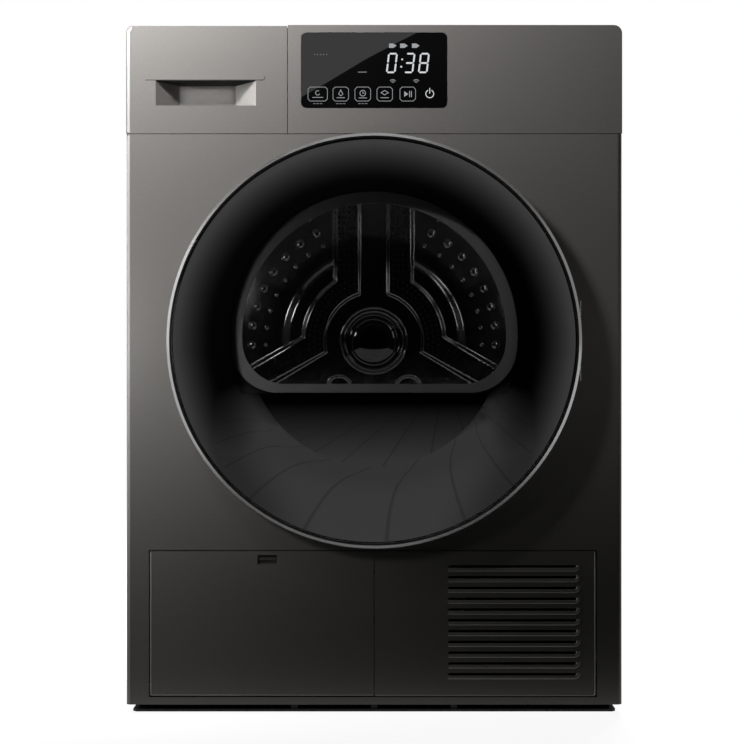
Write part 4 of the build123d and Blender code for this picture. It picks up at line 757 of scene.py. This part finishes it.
bright_mark = glowing("display_bright", (0.92, 0.96, 1.0), 0.75)
soft_mark = glowing("display_soft", (0.80, 0.84, 0.88), 0.42)
dim_mark = glowing("display_dim", (0.70, 0.72, 0.75), 0.22)
for number, (figure, x) in enumerate((("0", 14.0), ("3", 35.2), ("8", 52.4))):
    flat_mark(f"time_figure_{number}", figure_loops(figure, x, -3.4), bright_mark)
for number, z in enumerate((4.4, 13.2)):
    flat_mark(f"time_dot_{number}", [arc_points(32.0 + 0.12 * z, z, 1.15, 0, 345, 15)], bright_mark)

# %% Arrows, signal marks and touch keys
for number, x in enumerate((17.8, 31.2, 45.4)):
    arrow = [[(x, 27.0), (x + 5.2, 27.0), (x + 9.2, 29.6), (x + 5.2, 32.2), (x, 32.2)]]
    flat_mark(f"stage_arrow_{number}", arrow, soft_mark)
for number, x in enumerate((22.4, 50.5)):
    fans = []
    for radius in (1.4, 3.0, 4.6):
        fans += stroke(arc_points(x, -15.6, radius, 45, 135, 8), 0.55)
    flat_mark(f"signal_{number}", fans, soft_mark)

KEYS = ((-79.5, 23.3), (-49.5, 18.7), (-23.1, 18.8), (3.4, 18.6), (31.0, 18.7))
KEY_Z, KEY_H = -36.9, 16.8


def key_outline(x, width):
    """A key's frame with clipped corners."""
    clip = 2.6
    right, top = x + width, KEY_Z + KEY_H
    return stroke([(x + clip, KEY_Z), (right - clip, KEY_Z), (right, KEY_Z + clip), (right, top - clip),
                   (right - clip, top), (x + clip, top), (x, top - clip), (x, KEY_Z + clip)],
                  0.55, closed=True)


def key_symbols(x, z):
    """Plain symbols for the five keys, drawn round each key's centre."""
    cycle = stroke(arc_points(x[0], z + 1.4, 2.6, 60, 330), 0.7)
    cycle += stroke([(x[0] - 6, z - 4), (x[0] + 6, z - 4)], 0.7)
    drop = stroke([(x[1], z + 5), (x[1] - 2.6, z), (x[1], z - 2.2), (x[1] + 2.6, z)], 0.7,
                  closed=True)
    drop += stroke([(x[1] - 4.6, z - 4.4), (x[1] + 4.6, z - 4.4)], 0.7)
    clock = stroke(arc_points(x[2], z + 1.0, 3.4, 0, 345, 20), 0.7, closed=True)
    clock += stroke([(x[2], z + 3.0), (x[2], z + 1.0), (x[2] + 1.8, z + 1.0)], 0.6)
    clock += stroke([(x[2] - 4.6, z - 4.6), (x[2] + 4.6, z - 4.6)], 0.7)
    stack = stroke([(x[3] - 4.4, z + 1.6), (x[3], z + 4.4), (x[3] + 4.4, z + 1.6), (x[3], z - 1.0)], 0.7,
                   closed=True)
    stack += stroke([(x[3] - 4.6, z - 4.4), (x[3] + 4.6, z - 4.4)], 0.7)
    play = [[(x[4] - 4.2, z + 3.4), (x[4] - 4.2, z - 3.4), (x[4] + 0.6, z)]]
    play += stroke([(x[4] + 2.2, z - 3.2), (x[4] + 2.2, z + 3.2)], 0.9)
    play += stroke([(x[4] + 4.4, z - 3.2), (x[4] + 4.4, z + 3.2)], 0.9)
    return cycle, drop, clock, stack, play


key_mids = [x + width / 2 for x, width in KEYS]
for number, symbol in enumerate(key_symbols(key_mids, KEY_Z + KEY_H / 2)):
    flat_mark(f"key_frame_{number}", key_outline(*KEYS[number]), soft_mark)
    flat_mark(f"key_symbol_{number}", symbol, soft_mark)
for number, x in enumerate(key_mids[:3]):
    flat_mark(f"key_level_{number}", [loop for step in range(3) for loop in
              stroke([(x - 5 + 4 * step, -40.0), (x - 3 + 4 * step, -40.0)], 0.9)], dim_mark)
power = stroke(arc_points(66.8, -28.2, 4.7, 120, 420, 24), 0.9)
power += stroke([(66.8, -27.4), (66.8, -21.6)], 0.9)
flat_mark("key_power", power, bright_mark)
flat_mark("status_dots", [arc_points(-71.5 + 3.6 * i, 19.0, 0.65, 0, 340, 10) for i in range(5)], dim_mark)
flat_mark("status_bar", stroke([(-19.0, -2.1), (-9.5, -2.1)], 1.1), dim_mark)
print("display marks", len(marks))


# %% [markdown]
# ## Raised lines on the front
# Thin lips and rolled edges catch the light on the real front. Each is one rounded section swept
# along a line that lies in the front's plane, so one small helper makes them all. The rolled edges
# and the rim are painted lighter than the panels as a painted highlight, because the sharp panels under them
# show no such line by themselves.


# %% Tool for a swept bar
def swept_bar(path, half, proud, front_y):
    """A bar with a rounded face along points (x, z) on the front; its root is just inside the front."""
    section = [(-half, 0.0006), (-half, -proud * 0.4), (-half * 0.5, -proud), (half * 0.5, -proud),
               (half, -proud * 0.4), (half, 0.0006)]
    verts, faces = [], []
    for index, (x, z) in enumerate(path):
        before, after = path[max(index - 1, 0)], path[min(index + 1, len(path) - 1)]
        length = hypot(after[0] - before[0], after[1] - before[1])
        side_x, side_z = -(after[1] - before[1]) / length, (after[0] - before[0]) / length
        verts += [(x + side_x * across, front_y + depth, z + side_z * across) for across, depth in section]
    count = len(section)
    for index in range(len(path) - 1):
        a, b = index * count, (index + 1) * count
        faces += [(a + i, b + i, b + (i + 1) % count, a + (i + 1) % count) for i in range(count)]
    faces += [tuple(range(count)), tuple(range((len(path) - 1) * count, len(path) * count))]
    return verts, faces


def raised_line(name, path, half, proud, front_y, material, body):
    verts, faces = swept_bar(path, half, proud, front_y)
    piece = new_piece(name, verts, faces, material, body, smooth=False)
    close_up(piece)
    return piece


# %% Lip of the handle recess, and a black sheet on its ceiling as painted shade
drawer_low, drawer_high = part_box("tank_front")
front_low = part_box("front_panel")[0]
lip_path = [(-0.2746, 0.7620), (-0.1340, 0.7620), (-0.1322, 0.7626), (-0.1316, 0.7642), (-0.1316, 0.7662)]
raised_line("handle_lip", lip_path, 0.00055, 0.00045, drawer_low.y, finishes["dark_plastic"],
            "water_drawer")
# A near-black sheet under the lip: painted shade on the recess's ceiling, where the lip shades it.
shade_sheet_plan = [(-0.2620, 0.0012, 0.7613), (-0.1426, 0.0012, 0.7613), (-0.1680, 0.0236, 0.7588),
              (-0.2366, 0.0236, 0.7588)]
shade_sheet_verts = [(x, drawer_low.y + y, z + lift) for lift in (0.0007, -0.0006) for x, y, z in shade_sheet_plan]
shade_sheet_faces = [(0, 1, 2, 3), (7, 6, 5, 4)] + [(i, (i + 1) % 4, (i + 1) % 4 + 4, i + 4) for i in range(4)]
close_up(new_piece("handle_shade_sheet", shade_sheet_verts, shade_sheet_faces, shade_black_paint, "water_drawer",
                   smooth=False))
print("drawer front at", round(drawer_low.y, 4))

# %% Rolled edges: the left upright and the rim round flap and grille
# Paint lighter than the panels': a painted highlight along the rolled edges and the rim.
painted_edge_highlight = grained("painted_edge_highlight", (0.46, 0.45, 0.44), 0.40, spread=0.08, metallic=0.45)
EDGE_X, EDGE_HALF, EDGE_PROUD = -0.2949, 0.0016, 0.0004
corner_r, corner_z = 0.0052, drawer_high.z - 0.0080
corner = [(EDGE_X + corner_r * (1 - cos(radians(a))), corner_z + corner_r * sin(radians(a)))
          for a in range(0, 71, 10)]
upper = [(EDGE_X, drawer_low.z + 0.0010), (EDGE_X, 0.75)] + corner
lower = [(EDGE_X, front_low.z + 0.002), (EDGE_X, 0.35), (EDGE_X, drawer_low.z - 0.0030)]
raised_line("edge_upper", upper, EDGE_HALF, EDGE_PROUD, drawer_low.y, painted_edge_highlight, "water_drawer")
raised_line("edge_lower", lower, EDGE_HALF, EDGE_PROUD, front_low.y, painted_edge_highlight, "cabinet")
flap_low, grille_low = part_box("service_flap")[0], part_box("grille_panel")[0]
KICK_X0, KICK_X1, KICK_Z0, KICK_Z1 = -0.2694, 0.2665, 0.0216, 0.1959
RIM_INSIDE, RIM_R, RIM_HALF, RIM_PROUD = 0.0012, 0.0028, 0.0006, 0.0004
x0, x1 = KICK_X0 + RIM_INSIDE, KICK_X1 - RIM_INSIDE
z0, z1 = KICK_Z0 + RIM_INSIDE, KICK_Z1 - RIM_INSIDE
turn = [(RIM_R * (1 - cos(radians(a))), RIM_R * (1 - sin(radians(a)))) for a in range(0, 91, 15)]
flap_rim = [(x0, z1)] + [(x0 + across, z0 + up) for across, up in turn] + [(-0.0016, z0)]
grille_rim = [(0.0016, z0)] + [(x1 - across, z0 + up) for across, up in reversed(turn)] + [(x1, z1)]
raised_line("flap_rim", flap_rim, RIM_HALF, RIM_PROUD, flap_low.y, painted_edge_highlight, "flap")
raised_line("grille_rim", grille_rim, RIM_HALF, RIM_PROUD, grille_low.y, painted_edge_highlight, "cabinet")
print("rim round flap and grille", round(x1 - x0, 4), "by", round(z1 - z0, 4))

# %% [markdown]
# ## Hoods under the air slots
# Each slot of the grille has a pressed ridge below it, which turns up at its right end. One ridge is
# swept from listed points, and a Geometry Nodes tree repeats it down the grille, because the rows are equal.


# %% A Geometry Nodes tree that repeats a piece in even rows
def make_row_tool():
    """Copies the incoming mesh along a straight offset; the count and the step are inputs."""
    tree, ends_in, ends_out = geometry_tree("Even rows", (
        ("Geometry", "NodeSocketGeometry"), ("Count", "NodeSocketInt"), ("Step", "NodeSocketVector"),
        ("Material", "NodeSocketMaterial")))
    line = tree.nodes.new("GeometryNodeMeshLine")
    tree.links.new(ends_in.outputs["Count"], line.inputs["Count"])
    tree.links.new(ends_in.outputs["Step"], line.inputs["Offset"])
    copies = tree.nodes.new("GeometryNodeInstanceOnPoints")
    tree.links.new(line.outputs["Mesh"], copies.inputs["Points"])
    tree.links.new(ends_in.outputs["Geometry"], copies.inputs["Instance"])
    dress_copies(tree, copies, ends_in, ends_out, smooth=False)
    return tree


row_tool = make_row_tool()

# %% The eleven hoods
SLOT_COUNT, SLOT_PITCH, SLOT_LENGTH = 11, 0.01294, 0.156
SLOT_INSET, SLOT_DROP = 0.0215, 0.0189  # from the grille's right end and from its top
HOOD_DROP, HOOD_HALF, HOOD_PROUD = 0.0035, 0.0022, 0.0011
slot_x1 = KICK_X1 - SLOT_INSET
slot_x0 = slot_x1 - SLOT_LENGTH
hood_z = KICK_Z1 - SLOT_DROP - HOOD_DROP
hood_end = ((-0.0045, 0.0), (-0.0022, 0.0005), (-0.0006, 0.0018), (0.0002, 0.0040), (0.0004, 0.0058))
hood_path = [(slot_x0, hood_z), (slot_x0 + 0.003, hood_z)]
hood_path += [(slot_x1 + along, hood_z + up) for along, up in hood_end]
hood_verts, hood_faces = swept_bar(hood_path, HOOD_HALF, HOOD_PROUD, grille_low.y)
hood_mesh = bpy.data.meshes.new("hood_once")
hood_mesh.from_pydata(hood_verts, [], hood_faces)
face_outwards(hood_mesh)
# Paint lighter than the grille's: a painted highlight on the ridges.
painted_hood_highlight = grained("painted_hood_highlight", (0.30, 0.29, 0.28), 0.45, spread=0.08, metallic=0.45)
row_values = {"Count": SLOT_COUNT, "Step": (0.0, 0.0, -SLOT_PITCH), "Material": painted_hood_highlight}
hoods = grown_piece("grille_hoods", hood_mesh, row_tool, row_values, "cabinet")
print("hoods", SLOT_COUNT, "with", len(hoods.data.polygons), "faces")

# %% [markdown]
# ## Studio
# A wide pale floor, a soft lamp close to the upper left of the front, weak fills, and small lamps
# for the drum, its hub and the handle recess, which get too little light otherwise. The floor shows
# boards, and a card in front of the display shows its slanted edge, only in polished glass.


# %% Floor, sky and card
def mirror_ray(tree):
    """1 for a ray that left a polished surface, such as the door's glass."""
    return tree.nodes.new("ShaderNodeLightPath").outputs["Is Singular Ray"]


def make_floor():
    """White to the camera, dull to the other surfaces, long boards in the door's reflection."""
    material = bpy.data.materials.new("studio_floor")
    material.use_nodes = True
    tree = material.node_tree
    tree.nodes.clear()
    out = tree.nodes.new("ShaderNodeOutputMaterial")
    place = tree.nodes.new("ShaderNodeTexCoord").outputs["Object"]
    length = tree.nodes.new("ShaderNodeVectorMath")
    length.operation = "LENGTH"
    tree.links.new(place, length.inputs[0])
    seen = tree.nodes.new("ShaderNodeEmission")
    tree.links.new(map_range(tree, length.outputs["Value"], 0.5, 2.5, 0.93, 1.0), seen.inputs["Strength"])
    lit = tree.nodes.new("ShaderNodeBsdfDiffuse")
    lit.inputs["Color"].default_value = (0.45, 0.45, 0.45, 1)
    both = tree.nodes.new("ShaderNodeAddShader")
    tree.links.new(seen.outputs[0], both.inputs[0])
    tree.links.new(lit.outputs[0], both.inputs[1])
    dull = tree.nodes.new("ShaderNodeBsdfDiffuse")
    dull.inputs["Color"].default_value = (0.12, 0.12, 0.12, 1)
    pick = tree.nodes.new("ShaderNodeMixShader")
    path = tree.nodes.new("ShaderNodeLightPath")
    tree.links.new(path.outputs["Is Camera Ray"], pick.inputs[0])
    tree.links.new(dull.outputs[0], pick.inputs[1])
    tree.links.new(both.outputs[0], pick.inputs[2])
    # The boards run away from the door and darken with distance and to the sides.
    axes = tree.nodes.new("ShaderNodeSeparateXYZ")
    tree.links.new(place, axes.inputs["Vector"])
    slanted = math_node(tree, "ADD", axes.outputs["X"], math_node(tree, "MULTIPLY", axes.outputs["Y"], 0.04))
    across = math_node(tree, "FRACT", math_node(tree, "DIVIDE", slanted, 0.20))
    line = map_range(tree, math_node(tree, "ABSOLUTE", math_node(tree, "SUBTRACT", across, 0.5)), 0.455, 0.5)
    sideways = math_node(tree, "ABSOLUTE", math_node(tree, "DIVIDE", axes.outputs["X"], axes.outputs["Y"]))
    away = math_node(tree, "MULTIPLY", axes.outputs["Y"], map_range(tree, sideways, 0.08, 0.35, 1.0, 4.0))
    far = map_range(tree, math_node(tree, "DIVIDE", 1.0, away), -0.045, -0.15, 0.0, 0.80, smooth=False)
    near = map_range(tree, axes.outputs["Y"], -3.0, -0.8, 0.0, 0.17)
    shade = map_range(tree, sideways, 0.15, 0.40, 1.0, 0.50)
    dark_lines = math_node(tree, "SUBTRACT", 1.0, math_node(tree, "MULTIPLY", line, 0.30))
    glow = math_node(tree, "MULTIPLY", math_node(tree, "ADD", far, near), shade)
    glow = math_node(tree, "MULTIPLY", glow, dark_lines)
    turn = math_node(tree, "SUBTRACT", math_node(tree, "ARCTANGENT", sideways), 0.26)
    edge_glow = math_node(tree, "MAXIMUM", math_node(tree, "DIVIDE", turn, 0.23), 0.0)
    edge_glow = math_node(tree, "POWER", edge_glow, 2.0)
    glow = math_node(tree, "MAXIMUM", glow, math_node(tree, "MINIMUM", edge_glow, 0.95))
    boards = tree.nodes.new("ShaderNodeEmission")
    tree.links.new(glow, boards.inputs["Strength"])
    # Beside and behind the front, bright paper lights the door's ring from below.
    beside = math_node(tree, "MULTIPLY", path.outputs["Is Glossy Ray"], map_range(
        tree, axes.outputs["Y"], -0.45, -0.25, 0.0, 1.0))
    paper = tree.nodes.new("ShaderNodeEmission")
    paper.inputs["Strength"].default_value = 0.55
    lower = tree.nodes.new("ShaderNodeMixShader")
    tree.links.new(beside, lower.inputs[0])
    tree.links.new(pick.outputs[0], lower.inputs[1])
    tree.links.new(paper.outputs[0], lower.inputs[2])
    mirror = tree.nodes.new("ShaderNodeMixShader")
    tree.links.new(mirror_ray(tree), mirror.inputs[0])
    tree.links.new(lower.outputs[0], mirror.inputs[1])
    tree.links.new(boards.outputs[0], mirror.inputs[2])
    tree.links.new(mirror.outputs[0], out.inputs["Surface"])
    mesh = bpy.data.meshes.new("studio_floor")
    sides = 96
    mesh.from_pydata([(26 * cos(2 * pi * i / sides), 26 * sin(2 * pi * i / sides), -0.0002)
                      for i in range(sides)], [], [tuple(range(sides))])
    mesh.materials.append(material)
    floor = bpy.data.objects.new("studio_floor", mesh)
    bpy.context.scene.collection.objects.link(floor)


def make_sky():
    """White to the camera, bright to the sides for polished edges, and black in front."""
    world = bpy.data.worlds.new("studio")
    bpy.context.scene.world = world
    world.use_nodes = True
    tree = world.node_tree
    tree.nodes.clear()
    out = tree.nodes.new("ShaderNodeOutputWorld")
    path = tree.nodes.new("ShaderNodeLightPath")
    axes = tree.nodes.new("ShaderNodeSeparateXYZ")
    tree.links.new(tree.nodes.new("ShaderNodeTexCoord").outputs["Generated"], axes.inputs["Vector"])
    forward = math_node(tree, "MULTIPLY", axes.outputs["Y"], -1.0)
    aside = math_node(tree, "ARCCOSINE", forward)
    # Seen in the door's glass: black ahead, rising to white a quarter turn aside.
    rise = math_node(tree, "MAXIMUM", math_node(tree, "SUBTRACT", aside, 0.26), 0.0)
    rise = math_node(tree, "DIVIDE", rise, 0.23)
    in_glass = math_node(tree, "MINIMUM", math_node(tree, "POWER", rise, 2.0), 1.2)
    # Seen in satin metal: dark ahead, soft panels at the sides, the upper left the brightest.
    panels = map_range(tree, forward, 0.30, -0.05, 0.0, 1.0)
    lean = math_node(tree, "SUBTRACT", axes.outputs["Z"], axes.outputs["X"])
    level = map_range(tree, lean, -1.2, 1.4, 0.22, 0.75)
    in_metal = math_node(tree, "MULTIPLY", panels, level)
    in_metal = math_node(tree, "MULTIPLY", in_metal, path.outputs["Is Glossy Ray"])
    dim = math_node(tree, "ADD", in_metal, 0.008)
    strength = tree.nodes.new("ShaderNodeMix")
    tree.links.new(path.outputs["Is Singular Ray"], strength.inputs[0])
    tree.links.new(dim, strength.inputs[2])
    tree.links.new(in_glass, strength.inputs[3])
    other = tree.nodes.new("ShaderNodeBackground")
    tree.links.new(strength.outputs[0], other.inputs["Strength"])
    white = tree.nodes.new("ShaderNodeBackground")
    pick = tree.nodes.new("ShaderNodeMixShader")
    tree.links.new(path.outputs["Is Camera Ray"], pick.inputs[0])
    tree.links.new(other.outputs[0], pick.inputs[1])
    tree.links.new(white.outputs[0], pick.inputs[2])
    for shader in (other, white):
        shader.inputs["Color"].default_value = (1, 1, 1, 1)
    tree.links.new(pick.outputs[0], out.inputs["Surface"])


camera_place = Vector((-0.0026, -2.49, 0.411))


def make_card():
    """A card in front of the display, seen only in it: its slanted edge is the sheen on the glass."""
    material = bpy.data.materials.new("studio_card")
    material.use_nodes = True
    tree = material.node_tree
    tree.nodes.clear()
    out = tree.nodes.new("ShaderNodeOutputMaterial")
    gone = tree.nodes.new("ShaderNodeBsdfTransparent")
    glow = tree.nodes.new("ShaderNodeEmission")
    glow.inputs["Strength"].default_value = 0.95
    mirror = tree.nodes.new("ShaderNodeMixShader")
    tree.links.new(mirror_ray(tree), mirror.inputs[0])
    tree.links.new(gone.outputs[0], mirror.inputs[1])
    tree.links.new(glow.outputs[0], mirror.inputs[2])
    tree.links.new(mirror.outputs[0], out.inputs["Surface"])
    # The card's outline is drawn where it shows in the display, then carried out along the mirrored
    # lines of sight to the card's own plane.
    ahead = 0.16
    spread = ahead / (display_low.y - camera_place.y)
    seen = [(-0.100, 0.7345), (-0.060, 0.7570), (-0.010, 0.7870), (0.030, 0.8080), (0.056, 0.8210),
            (0.056, 0.8300), (-0.100, 0.8300)]
    verts = [(x + (x - camera_place.x) * spread, display_low.y - ahead, z + (z - camera_place.z) * spread)
             for x, z in seen]
    mesh = bpy.data.meshes.new("studio_card")
    mesh.from_pydata(verts, [], [tuple(range(len(verts)))])
    mesh.materials.append(material)
    card = bpy.data.objects.new("studio_card", mesh)
    card.visible_camera = False
    card.visible_diffuse = False
    bpy.context.scene.collection.objects.link(card)


def add_lamp(name, place, target, power, size, size_y=None, spread=180, unseen=()):
    """A rectangular lamp; unseen lists the kinds of ray that it hides from."""
    lamp = bpy.data.lights.new(name, "AREA")
    lamp.shape = "RECTANGLE"
    lamp.size = size
    lamp.size_y = size_y or size
    lamp.energy = power
    lamp.spread = radians(spread)
    holder = bpy.data.objects.new(name, lamp)
    holder.location = place
    holder.rotation_euler = (Vector(target) - Vector(place)).to_track_quat("-Z", "Y").to_euler()
    for ray in unseen:
        setattr(holder, "visible_" + ray, False)
    bpy.context.scene.collection.objects.link(holder)


make_floor()
make_sky()
make_card()
no_shine = ("glossy", "camera")
add_lamp("key_lamp", (-0.517, -0.708, 1.235), (-0.476, -0.290, 1.331), 62.0, 0.22, spread=161,
         unseen=no_shine)
add_lamp("left_lamp", (-0.375, -0.635, 0.469), (-0.433, -0.290, 0.424), 1.1, 0.10, spread=144,
         unseen=no_shine)
add_lamp("right_lamp", (0.62, -1.10, 0.50), (0.285, -0.290, 0.460), 0.04, 0.10, spread=36, unseen=no_shine)
add_lamp("front_fill", (-1.2, -3.2, 1.8), (0, -0.29, 0.5), 0.5, 1.4, unseen=no_shine)
add_lamp("edge_strip", (-1.3, -0.62, 0.75), (-0.29, -0.27, 0.60), 10.0, 0.12, 0.9,
         unseen=("diffuse", "camera"))
add_lamp("top_back", (0.4, 1.6, 2.0), (0, 0, 0.6), 30.0, 1.2)
add_lamp("drum_right", (0.212, 0.080, drum_centre.z + 0.132), (0.110, 0.217, drum_centre.z + 0.060), 0.07,
         0.03, 0.20, unseen=("camera",))
add_lamp("drum_left", (-0.235, -0.01, drum_centre.z + 0.09), (-0.10, 0.2, drum_centre.z), 0.10, 0.05,
         unseen=("camera",))
add_lamp("hub_light", (0, 0.01, drum_centre.z - 0.085), (0, 0.0101, drum_centre.z + 1.0), 0.20, 0.36,
         unseen=("diffuse", "camera", "transmission"))
add_lamp("recess_light", (-0.2023, drawer_low.y - 0.16, 0.7440), (-0.2023, drawer_low.y, 0.7455), 0.006,
         0.062, 0.018, spread=5, unseen=("glossy", "camera", "transmission"))
print("lamps", len(bpy.data.lights))

# %% Camera
camera_data = bpy.data.cameras.new("camera")
camera_data.sensor_width = 36.0
camera_data.lens = 88.6
camera = bpy.data.objects.new("camera", camera_data)
camera.location = camera_place
camera.rotation_euler = (radians(90), 0, 0)
bpy.context.scene.collection.objects.link(camera)
bpy.context.scene.camera = camera
bpy.context.scene.view_settings.view_transform = "Standard"
print("camera at", tuple(camera.location))
